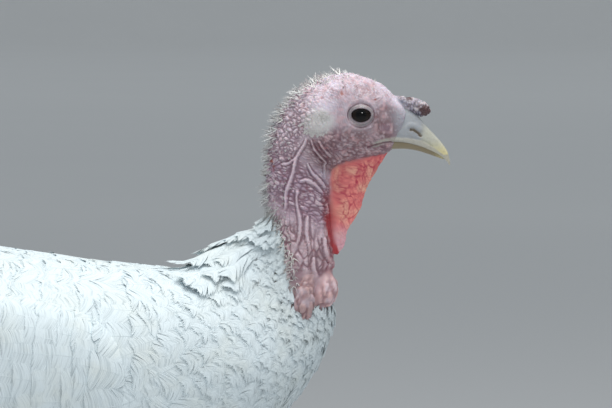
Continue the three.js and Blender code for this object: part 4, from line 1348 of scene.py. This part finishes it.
def steps_for(surface, r, c, turned):
    """Steps in rows and columns that move one millimetre ahead, and one millimetre aside."""
    _, out, down, across = surface.read(r, c)
    flow = unit(down)
    beside = np.cross(out, flow)
    cos, sin = np.cos(turned)[:, None], np.sin(turned)[:, None]
    a, b, d = [np.sum(p * q, axis=-1) for p, q in ((down, down), (down, across), (across, across))]
    found = []
    for way in (flow * cos + beside * sin, beside * cos - flow * sin):
        e, f = np.sum(way * down, axis=-1), np.sum(way * across, axis=-1)
        bottom = np.maximum(a * d - b * b, 1e-6)
        found.append(((e * d - f * b) / bottom, (a * f - b * e) / bottom))
    return found


def lay(surface, kind, roots, length, width, turned, deep, high, curl=0.55, chance=None, cup=1.0):
    """Feathers of a kind on a surface: their points, triangles, ways out of the coat, marks for the
    finish and places on their own patches of the bake.

    Roots are rows and columns; deep and high are how far off the surface a feather starts and ends.
    """
    count, steps = len(roots), 10
    pick = chance.integers(0, len(kind), count)
    shape = np.stack([drawing[0] for drawing in kind])[pick]
    r, c = roots[:, 0].copy(), roots[:, 1].copy()
    ways = []
    for _ in range(steps + 2):
        ahead, aside = steps_for(surface, r, c, turned)
        ways.append(np.stack([r, c, *aside], axis=-1))
        r, c = r + ahead[0] * length / steps, c + ahead[1] * length / steps
    ways = np.stack(ways, axis=1)
    place_on_way = np.clip(shape[..., 0] * steps, 0, steps + 0.999)
    k = place_on_way.astype(int)
    share = (place_on_way - k)[..., None]
    rows = np.arange(count)[:, None]
    there = ways[rows, k] * (1 - share) + ways[rows, k + 1] * share
    across_it = shape[..., 1] * width[:, None]
    place, out, _, _ = surface.read(there[..., 0] + there[..., 2] * across_it, there[..., 1] + there[..., 3] * across_it)
    rise = deep[:, None] + (high - deep)[:, None] * shape[..., 0] ** curl
    height = rise + shape[..., 2] * length[:, None] * cup
    faces, marks = [np.stack([drawing[k] for drawing in kind])[pick] for k in (1, 2)]
    number = np.broadcast_to(chance.random((count, 1, 1)), (*marks.shape[:2], 1))
    on_patch = np.stack([shape[..., 0], 0.5 + 0.5 * shape[..., 1]], axis=-1).clip(0, 1)
    return place + out * height[..., None], faces, out, np.concatenate([marks, number], axis=-1), on_patch


def scattered(surface, spacing, wanted, chance, tries=60000):
    """Roots at least a spacing apart, where wanted(place, row, column) is true."""
    size = np.linalg.norm(np.cross(surface.down, surface.across), axis=-1)
    size[-1] = 0
    if not surface.ring:
        size[:, -1] = 0
    rows, columns = np.meshgrid(np.arange(surface.rows), np.arange(surface.columns), indexing="ij")
    at = surface.grid.reshape(-1, 3)
    size = size.ravel() / spacing(at, rows.ravel(), columns.ravel()) ** 2 * wanted(at, rows.ravel(), columns.ravel())
    chosen = chance.choice(size.size, tries, p=size / size.sum())
    r = chosen // surface.columns + chance.random(tries)
    c = chosen % surface.columns + chance.random(tries)
    place = surface.read(r, c)[0]
    apart = spacing(place, r, c)
    keep = wanted(place, r, c)
    taken, roots = np.zeros((int(keep.sum()), 3)), []
    for i in np.nonzero(keep)[0]:
        offset = taken[: len(roots)] - place[i]
        if not roots or np.einsum("ij,ij->i", offset, offset).min() > apart[i] ** 2:
            taken[len(roots)] = place[i]
            roots.append(i)
    return np.stack([r[roots], c[roots]], axis=-1), place[roots]


# %% [markdown]
# ## The finish of feathers
# White feathers are clear fibres full of air, so they scatter light like snow. Each point carries
# three marks: where its barb leaves the shaft, how far out along the barb it lies, and the
# feather's number. Noise read at those marks, drawn out along the barb, gives fine lines that
# follow every barb however the feather is bent: a bump, and a darker copy of the white mixed in as
# painted shade between the barbs. Noise read in space would run across them.

# %% Make the finish of feathers
def feather_made(name, white, shade):
    finish = Finish(name, roughness=0.75, sheen_weight=0.1, sheen_roughness=0.5, specular_ior_level=0.25)
    marks = finish.read("tint")
    lines = []
    for stretch in ((64, 1.3, 311), (17, 1.1, 173)):
        at = finish.node("ShaderNodeVectorMath", {"operation": "MULTIPLY"}, {0: marks, 1: stretch})
        lines.append(finish.node("ShaderNodeTexNoise", {}, {"Vector": at, "Scale": 1.0, "Detail": 2.0}))
    barbs = lines[0] * 0.6 + lines[1] * 0.4
    broad = finish.noise(20, 3)
    colour = finish.mixed(white, (white[0] * 0.99, white[1] * 0.96, white[2] * 0.91), finish.stepped(broad, 0.45, 0.7))
    # The darker copy, mixed in along the barb lines, is painted shade between the barbs.
    finish.set("Base Color", finish.mixed(shade, colour, finish.stepped(barbs, 0.3, 0.52)))
    finish.set("Roughness", finish.stepped(barbs, 0.2, 0.8) * 0.15 + 0.6)
    finish.bumped(barbs, 0.5)
    return finish.material


bristle_finish = feather_made("bristles", (0.92, 0.92, 0.91), (0.83, 0.81, 0.80))
# The body's white and its darker copy are tinted blue, painted light standing in for the cool sky.
feather_finish = feather_made("feather", (0.77, 0.865, 0.905), (0.50, 0.58, 0.61))
ear_finish = feather_made("ear down", (0.71, 0.70, 0.70), (0.60, 0.56, 0.57))

# %% [markdown]
# ## Where feathers are baked
# Its finishes can be baked into pictures. Each feather gets its own small patch on them, at its
# root's place on a flat map of the bird. The trunk, the head, each wing, each face of the tail and
# each thigh have their own sheet on that map.

# %% Gather the coat and its places on the map
PATCH = 0.003
SHEETS = {  # left, bottom, width, height
    "body": (0.02, 0.02, 0.53, 0.96),
    "wing_right": (0.58, 0.53, 0.18, 0.45), "wing_left": (0.79, 0.53, 0.18, 0.45),
    "tail_1": (0.58, 0.21, 0.18, 0.28), "tail_-1": (0.79, 0.21, 0.18, 0.28), "tail_0": (0.58, 0.13, 0.39, 0.06),
    "thigh_right": (0.58, 0.02, 0.18, 0.09), "thigh_left": (0.79, 0.02, 0.18, 0.09),
}
coat = {}  # name: list of (points, triangles, ways out, marks, places on the map)


def add_to_coat(name, laid, sheet, along_it, round_it):
    """Adds laid feathers, whose roots lie at shares along and round a sheet of the map."""
    left, bottom, width, height = SHEETS[sheet]
    home = np.stack([left + width * (round_it % 1.0001), bottom + height * along_it], axis=-1)
    *form, on_patch = laid
    coat.setdefault(name, []).append((*form, home[:, None] + PATCH * (on_patch - 0.5)))


# %% Cover the trunk
chance = np.random.default_rng(7)
body_u = np.linspace(11, RUMP, 260)
body_turn = np.arange(240) * 2 * math.pi / 240
body_uu, body_tt = np.meshgrid(body_u, body_turn, indexing="ij")
body_surface = Surface(on_body(OUTSIDE, body_uu, body_tt))
if (body_surface.out[130, 0] @ np.array([0, 0, 1])) < 0:
    body_surface.out *= -1

def body_spacing(place, r, c):
    return 1.7 + 1.8 * ramp(feathered(place), 0, 16) + 4.5 * ramp(place[:, 0], -60, -130)


roots, places = scattered(body_surface, body_spacing, lambda place, r, c: feathered(place) > 0.5 * mottle(place, 6, 160), chance)
row_u = 11 + (RUMP - 11) * roots[:, 0] / 259
turns = roots[:, 1] / 240 * 2 * math.pi
round_share = 0.5 - 0.5 * np.cos(turns)
depth = np.linalg.norm(places - on_body(FLESH, row_u, turns), axis=1)
edge = ramp(feathered(places), 0, 20)
size = ramp(places[:, 0], -45, -140)
length = (9 + 14 * edge + 38 * size) * chance.uniform(0.85, 1.15, len(roots))
to_rump = np.linalg.norm(places - body_surface.grid[-1].mean(axis=0), axis=1)
length = np.minimum(length, 14 + 0.9 * to_rump)  # none may run past the trunk's end
width = (1.7 + 3.2 * edge + 11.5 * size) * chance.uniform(0.9, 1.12, len(roots))
turned = chance.normal(0, 0.11 + 0.2 * (1 - edge), len(roots)) + 0.2 * mottle(places, 42, 161)
deep = -np.clip(0.7 * depth, 0.8, 1.3 + 2.2 * size)
ruffle = ramp(mottle(places, 13, 162), -0.2, 0.7) * ramp(round_share, 0.45, 0.05) * ramp(size, 0.5, 0.1)
puff = ramp(round_share, 0.7, 0.95) * ramp(row_u, 13.4, 14.2) * ramp(row_u, 16.5, 15)
high = 0.2 + (1 - size) * chance.uniform(0, 1.2, len(roots)) + chance.uniform(-0.06, 0.08, len(roots)) + 2.2 * ruffle + 1.2 * puff
tufted = (round_share < 0.28) & (places[:, 0] > -86) & (chance.random(len(roots)) < 0.45)
high[tufted] += chance.uniform(1.2, 4.2, tufted.sum())
ruffled = size < 0.42
for name, chosen, kind in (("coat_ruff", ruffled, ruff_kind), ("coat_body", ~ruffled, body_kind)):
    parts = [values[chosen] for values in (roots, length, width, turned, deep, high)]
    add_to_coat(name, lay(body_surface, kind, *parts, chance=chance), "body", row_u[chosen] / RUMP, turns[chosen] / (2 * math.pi))
print(ruffled.sum(), "feathers on the neck and", (~ruffled).sum(), "on the trunk")

# %% Lay the wings
WING = [
    (-128, -166, 8, 74, 10), (-142, -166, 30, 86, 20), (-170, -164, 47, 95, 26), (-210, -162, 56, 101, 28),
    (-260, -160, 59, 103, 28), (-310, -158, 56, 99, 26), (-360, -155, 48, 89, 20), (-405, -151, 37, 75, 14),
    (-450, -148, 26, 62, 9), (-490, -148, 16, 52, 5.5), (-522, -151, 6, 45, 2.5),
]


WING_COLUMNS = 146


def wing_surface(side):
    u, turn = np.meshgrid(np.linspace(0, 10, 160), np.linspace(-1.75, 2.5, WING_COLUMNS), indexing="ij")
    x, z, high, out, thick = np.moveaxis(along(WING, u), -1, 0)
    y = out - thick + thick * power(np.cos(turn), 0.8)
    made = Surface(np.stack([x, side * y, z + high * np.sin(turn)], axis=-1), ring=False)
    if made.out[80, 60, 1] * side < 0:
        made.out *= -1
    return made


for name, side in SIDES.items():
    surface = wing_surface(side)
    chance = np.random.default_rng(20 + side)
    # Flight feathers: the lowest first, each higher one over it.
    count = 17
    order = np.linspace(0, 1, count)
    rows = 55 + 42 * order
    columns = 20 + 68 * order
    flight_roots = np.stack([rows, columns], axis=-1)
    length = 235 - 85 * np.abs(order - 0.1)
    turned = np.linspace(0.02, -0.12, count) * 1.0
    laid = lay(surface, flight_kind, flight_roots, length, np.full(count, 15.0), turned, -6 + 3.0 * order, -2.5 + 2.5 * order, chance=chance)
    add_to_coat("flight_" + name, laid, "wing_" + name, rows / 160, columns / WING_COLUMNS)
    wanted = lambda place, r, c: (r < 68 + 32 * np.maximum(ramp(c, 56, 84), ramp(c, 38, 24))) & (c > 2) & (c < 143)
    roots, places = scattered(surface, lambda place, r, c: 8.5 - 3 * ramp(r, 22, 8) + 3.5 * ramp(place[:, 0], -150, -300), wanted, chance, 12000)
    size = ramp(places[:, 0], -130, -300)
    length = (42 + 38 * size) * chance.uniform(0.93, 1.08, len(roots))
    width = (14 + 6 * size) * chance.uniform(0.93, 1.08, len(roots))
    turned = chance.normal(0, 0.07, len(roots))
    deep = -3.2 - 7 * ramp(roots[:, 0], 26, 4) - 3 * ramp(np.abs(roots[:, 1] - 73), 58, 71)
    laid = lay(surface, covert_kind, roots, length, width, turned, deep, chance.uniform(0.6, 0.9, len(roots)), chance=chance)
    add_to_coat("coat_wing_" + name, laid, "wing_" + name, roots[:, 0] / 160, roots[:, 1] / WING_COLUMNS)
    print(len(roots), "coverts on the", name, "wing")

# %% Spread the tail
TAIL = [
    (-0.05, 28, 17), (0.15, 42, 22), (0.35, 48, 17), (0.55, 54, 10), (0.75, 61, 5.5), (0.9, 65, 3.6),
    (0.97, 55, 2.8), (1, 30, 2),
]
TAIL_ROOT = np.array([-428, -124])
TAIL_TIP = np.array([-688, -192])


def tail_surface(face):
    """The upper (1) or lower (-1) face of the folded tail, or its middle sheet (0)."""
    u, across = np.meshgrid(np.linspace(0, 6.4, 120), np.linspace(-1, 1, 90), indexing="ij")
    share, half, thick = np.moveaxis(along(TAIL, u), -1, 0)
    if face == 0:
        half = 28 + 38 * share
    x = TAIL_ROOT[0] + (TAIL_TIP[0] - TAIL_ROOT[0]) * share
    z = TAIL_ROOT[1] + (TAIL_TIP[1] - TAIL_ROOT[1]) * share
    y = half * across
    rise = face * thick * power(1 - across**2, 0.4)
    made = Surface(np.stack([x, y, z + rise - 0.16 * np.abs(y)], axis=-1), ring=False)
    if made.out[60, 45, 2] < 0:
        made.out *= -1
    return made


chance = np.random.default_rng(31)
sheet = tail_surface(0)
count = 18
order = np.linspace(-1, 1, count)
rank = 1 - np.abs(order)
tail_roots = np.stack([np.full(count, 6.0), 44.5 + 26 * order], axis=-1)
laid = lay(
    sheet, flight_kind, tail_roots, 275 - 26 * np.abs(order) ** 1.5, np.full(count, 17.0), -0.03 * order,
    -2 + 4 * rank, -1.8 + 3.4 * rank, chance=chance,
)
add_to_coat("tail_feathers", laid, "tail_0", tail_roots[:, 0] / 120, tail_roots[:, 1] / 90)
for face in (1, -1):
    surface = tail_surface(face)
    if face < 0:
        surface.out *= -1
    wanted = lambda place, r, c: r < 46
    roots, places = scattered(surface, lambda place, r, c: np.full(len(place), 12.0), wanted, chance, 6000)
    length = chance.uniform(55, 75, len(roots))
    laid = lay(
        surface, covert_kind, roots, length, length * 0.3, chance.normal(0, 0.06, len(roots)),
        -5 - 12 * ramp(roots[:, 0], 24, 2), 0.5 - 4 * ramp(roots[:, 0], 28, 46), chance=chance,
    )
    add_to_coat("coat_tail", laid, f"tail_{face}", roots[:, 0] / 120, roots[:, 1] / 90)

# %% Clothe the thighs
for name, side in SIDES.items():
    chance = np.random.default_rng(40 + side)
    surface = Surface(limb(thigh_way(side), 120, 110, flat=0.72, tip=0.95))
    middle = surface.grid.mean(axis=1, keepdims=True)
    if ((surface.grid - middle) * surface.out).sum() < 0:
        surface.out *= -1
    wanted = lambda place, r, c: r > 1
    roots, places = scattered(surface, lambda place, r, c: 6 + 4 * ramp(place[:, 2] - FLOOR, 150, 220), wanted, chance, 9000)
    size = ramp(places[:, 2] - FLOOR, 140, 230)
    length = (18 + 24 * size) * chance.uniform(0.9, 1.1, len(roots))
    laid = lay(
        surface, body_kind, roots, length, length * 0.27, chance.normal(0, 0.1, len(roots)),
        -1.5 - 4 * size - 14 * ramp(roots[:, 0], 36, 4), 0.2 + 0 * size, chance=chance,
    )
    add_to_coat("coat_thigh_" + name, laid, "thigh_" + name, roots[:, 0] / 120, roots[:, 1] / 110)
    print(len(roots), "feathers on the", name, "thigh")

# %% [markdown]
# ## Bristles
# The bare head is not quite bare. White bristles, like frayed threads, stand on the nape and the
# back of the crown, and thin out over the neck. Each one here is a little spray of thin blades that
# leave one root and bend back. They stand on the finished skin, so their roots are found by looking
# it up.

# %% Draw a bristle
def drawn_bristle(chance, blades=4):
    """A spray of thin three-sided blades, in shares of its length."""
    points, triangles, held = [], [], 0
    for _ in range(blades):
        lean, spread = chance.uniform(0.0, 0.5), chance.uniform(-0.42, 0.42)
        reach = chance.uniform(0.6, 1.0)
        share = np.array([0, 0.4, 0.75, 1])
        middle = np.stack([
            reach * (lean * share + 0.25 * share**2), reach * spread * share, reach * (1 - 0.3 * lean) * share,
        ], axis=-1)
        thick = 0.068 * np.array([1, 0.85, 0.55, 0.08])
        corners = np.array([[0, 1, 0], [0.3, -0.5, 0.8], [-0.3, -0.5, -0.8]])
        points.append((middle[:, None] + corners * thick[:, None, None]).reshape(-1, 3))
        for k in range(3):
            for j in range(3):
                a, b = held + 3 * k + j, held + 3 * k + (j + 1) % 3
                triangles += [(a, b, b + 3), (a, b + 3, a + 3)]
        held += 12
    points, triangles = np.vstack(points), np.array(triangles)
    return points, facing_out(points, triangles)


# %% Set the bristles
chance = np.random.default_rng(51)
head_surface = Surface(on_body(FLESH, *np.meshgrid(np.linspace(0, 15, 300), np.arange(200) * 2 * math.pi / 200, indexing="ij")))
if head_surface.out[150, 0, 0] > 0:
    head_surface.out *= -1
final_skin = BVHTree.FromPolygons(joined_points.tolist(), joined_triangles.tolist())


def bristle_density(place, r, c):
    u = r / 299 * 15
    share = 0.5 - 0.5 * np.cos(c / 200 * 2 * math.pi)
    clumps = 0.35 + 0.65 * ramp(mottle(place, 5, 163), -0.35, 0.25)
    nape = clumps * ramp(u, 3.2, 4.6) * ramp(share, 0.13, 0.02)
    side = 0.1 * ramp(u, 4, 6) * ramp(share, 0.5, 0.3)
    edge = 0.7 * ramp(feathered(place), -7, -1) * ramp(place[:, 0], -30, -36)
    few = 0.1 * ramp(u, 1.5, 3) * ramp(share, 0.3, 0.1)
    return np.maximum.reduce([nape, side, edge, few])


wanted = lambda place, r, c: (bristle_density(place, r, c) > chance.random(len(place))) & (feathered(place) < 1)
roots, places = scattered(head_surface, lambda place, r, c: np.full(len(place), 2.0), wanted, chance, 24000)
kind = [drawn_bristle(chance, 3 + k % 3) for k in range(4)]
length = chance.uniform(3, 8, len(roots)) * (0.45 + 0.55 * ramp(bristle_density(places, *roots.T), 0.1, 0.6))
_, out, down, _ = head_surface.read(*roots.T)
flow = unit(down + 0.6 * np.linalg.norm(down, axis=1, keepdims=True) * chance.normal(size=down.shape))
beside = unit(np.cross(out, flow))
flow = np.cross(beside, out)
BRISTLE_DEPTH = 0.4
sprays = {}
for i in range(len(roots)):
    hit = final_skin.ray_cast(Vector(places[i] + out[i] * 9), Vector(-out[i]), 18)[0]
    root = np.array(hit) if hit is not None else places[i]
    if np.linalg.norm(root - places[i]) > 3.5:
        continue  # a lump lies over this root
    points, triangles = kind[i % 4]
    made = root - out[i] * BRISTLE_DEPTH + length[i] * (
        points[:, :1] * flow[i] + points[:, 1:2] * beside[i] + points[:, 2:] * out[i]
    )
    marks = np.tile([0.5, 0.5, i / len(roots)], (len(made), 1))
    sprays.setdefault(i % 4, []).append((made, triangles, np.tile(out[i], (len(made), 1)), marks, points[:, :2].clip(0, 1), i))
for blocks in sprays.values():
    *laid, which = [np.stack(values) for values in zip(*blocks)]
    add_to_coat("bristles", laid, "body", roots[which, 0] / 299 * 15 / RUMP, roots[which, 1] / 200)
print(len(roots), "bristles")

# %% Cover the ears with short down
down_kind = drawings(5, lines=6, start=0.05, widest=0.5, blunt=1.6, sweep=0.3, splits=1, gape=0.5, loose=0.5, fringe=2, fray=0.5)


def on_ear_patch(place, r, c):
    far = np.hypot((place[:, 0] + 25.8) / 9.0, (place[:, 2] + 2.8) / 7.6)
    return ramp(far, 1.2, 0.3) > chance.random(len(place))


roots, places = scattered(head_surface, lambda place, r, c: np.full(len(place), 0.8), on_ear_patch, chance, 60000)
length = chance.uniform(2.4, 3.8, len(roots))
laid = lay(
    head_surface, down_kind, roots, length, length * 0.26, chance.normal(0, 0.3, len(roots)),
    np.full(len(roots), -0.1), chance.uniform(0.45, 0.7, len(roots)), chance=chance,
)
add_to_coat("ear_down", laid, "body", roots[:, 0] / 299 * 15 / RUMP, roots[:, 1] / 200)
print(len(roots), "tufts over the ears")

# %% Make the coat's pieces
COAT_LIMIT = 190000
SOFTNESS = 0.65  # how far the shading of a feather follows the body's form


def soft_shading(made, points, triangles, out):
    """Shades thin vanes partly as the body under them, as light also passes through them."""
    own = normals(points, triangles)
    same_side = np.where(np.sum(own * out, axis=1) < 0, -1, 1)[:, None]
    shaded = unit(own * (1 - SOFTNESS) + out * same_side * SOFTNESS)
    made.data.normals_split_custom_set_from_vertices(shaded.tolist())


def mapped(made, places):
    """Gives a piece its places on the map that it is baked to."""
    corners = np.zeros(len(made.data.loops), np.int32)
    made.data.loops.foreach_get("vertex_index", corners)
    layer = made.data.uv_layers.new(name="OFBake")
    layer.data.foreach_set("uv", places[corners].astype(np.float32).ravel())


total = 0
for name, layers in coat.items():
    pieces, held = [[]], 0
    for layer in layers:
        each = layer[1].shape[1]
        for start in range(0, len(layer[0]), 100):
            block = [values[start : start + 100] for values in layer]
            if held + each * len(block[0]) > COAT_LIMIT:
                pieces.append([])
                held = 0
            pieces[-1].append(block)
            held += each * len(block[0])
    for i, blocks in enumerate(pieces):
        starts = np.cumsum([0] + [block[0].shape[0] * block[0].shape[1] for block in blocks])
        faces = np.vstack([
            (block[1] + start + block[0].shape[1] * np.arange(len(block[0]))[:, None, None]).reshape(-1, 3)
            for block, start in zip(blocks, starts)
        ])
        at, out, marks, places = [np.vstack([block[k].reshape(-1, block[k].shape[-1]) for block in blocks]) for k in (0, 2, 3, 4)]
        total += len(faces)
        title = name if len(pieces) == 1 else f"{name}_{i + 1}"
        finish, slot = (ear_finish, "ear_feathers") if name == "ear_down" else (feather_finish, "feathers")
        finish = bristle_finish if name == "bristles" else finish
        made = piece(title, at, faces, finish, tint=marks)
        mapped(made, places)
        soft_shading(made, at, faces, out)
        if name.startswith("flight_"):
            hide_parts("wing_" + name.split("_")[1])
        if name == "tail_feathers":
            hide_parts("tail")
print("the coat has", total, "triangles")
# %% The floor, the lights
# The floor turns up into a far wall, so that no view shows its edge.
FLOOR_RADIUS = 26
turn = np.arange(96) * 2 * math.pi / 96
far = np.concatenate([[0.5, 2, 6, 14, FLOOR_RADIUS], FLOOR_RADIUS + 6 * np.sin(np.linspace(0, math.pi / 2, 12)[1:])])
high = np.concatenate([np.zeros(5), 6 - 6 * np.cos(np.linspace(0, math.pi / 2, 12)[1:])])
far, high = np.append(far, FLOOR_RADIUS + 6), np.append(high, 9)
bowl = np.stack([far[:, None] * np.cos(turn), far[:, None] * np.sin(turn), high[:, None] + 0 * turn], axis=-1)
floor_points = np.vstack([bowl.reshape(-1, 3), [(0, 0, 0)]])
floor_triangles = planks(len(far), 96)
centre = np.stack([np.full(96, len(floor_points) - 1), np.arange(96), np.roll(np.arange(96), -1)], axis=-1)
floor_triangles = np.vstack([floor_triangles, centre])
a, b, c = [floor_points[floor_triangles[:, k]] for k in range(3)]
away = np.sum(np.cross(b - a, c - a) * ((0, 0, 4) - a), axis=1) < 0
floor_triangles[away] = floor_triangles[away][:, ::-1]  # all of it faces the bird
floor_mesh = bpy.data.meshes.new("floor")
floor_mesh.from_pydata(floor_points.tolist(), [], floor_triangles.tolist())
floor_mesh.polygons.foreach_set("use_smooth", np.ones(len(floor_mesh.polygons), bool))
floor = bpy.data.objects.new("floor", floor_mesh)
bpy.context.scene.collection.objects.link(floor)
floor_finish = Finish("floor", roughness=0.95)
# The floor is painted lighter away from the bird, so that the far floor and wall look lit: painted light.
floor_painted_light = floor_mesh.attributes.new("tint", "FLOAT_COLOR", "POINT")
painted_light_far_off = ramp(np.hypot(floor_points[:, 0], floor_points[:, 1]), 2, 8)[:, None] * np.ones(4)
floor_painted_light.data.foreach_set("color", painted_light_far_off.astype(np.float32).ravel())
grey = floor_finish.mixed((0.50, 0.51, 0.52), (0.80, 0.79, 0.78), floor_finish.read("tint", "Fac"))
floor_finish.set("Base Color", floor_finish.mixed(grey, (0.6, 0.6, 0.6), floor_finish.noise(900) * 0.1))
floor_mesh.materials.append(floor_finish.material)

world = bpy.data.worlds.new("studio")
bpy.context.scene.world = world
world.use_nodes = True
world.node_tree.nodes["Background"].inputs["Color"].default_value = (0.86, 0.94, 1, 1)
world.node_tree.nodes["Background"].inputs["Strength"].default_value = 0.46
bpy.context.scene.view_settings.view_transform = "Standard"


def soft_light(name, at, size, watts, colour):
    lamp = bpy.data.lights.new(name, "AREA")
    lamp.shape, lamp.size, lamp.energy, lamp.color = "DISK", size, watts, colour
    made = bpy.data.objects.new(name, lamp)
    bpy.context.scene.collection.objects.link(made)
    made.location = at
    made.rotation_euler = (Vector(placed((-60, 0, -60))) - Vector(at)).to_track_quat("-Z", "Y").to_euler()


soft_light("sky", (0.38, -0.25, 2.8), 2.2, 60, (1, 0.98, 0.95))


soft_light("catchlight", (0.64, -1.91, 1.05), 0.2, 6, (1, 1, 1))
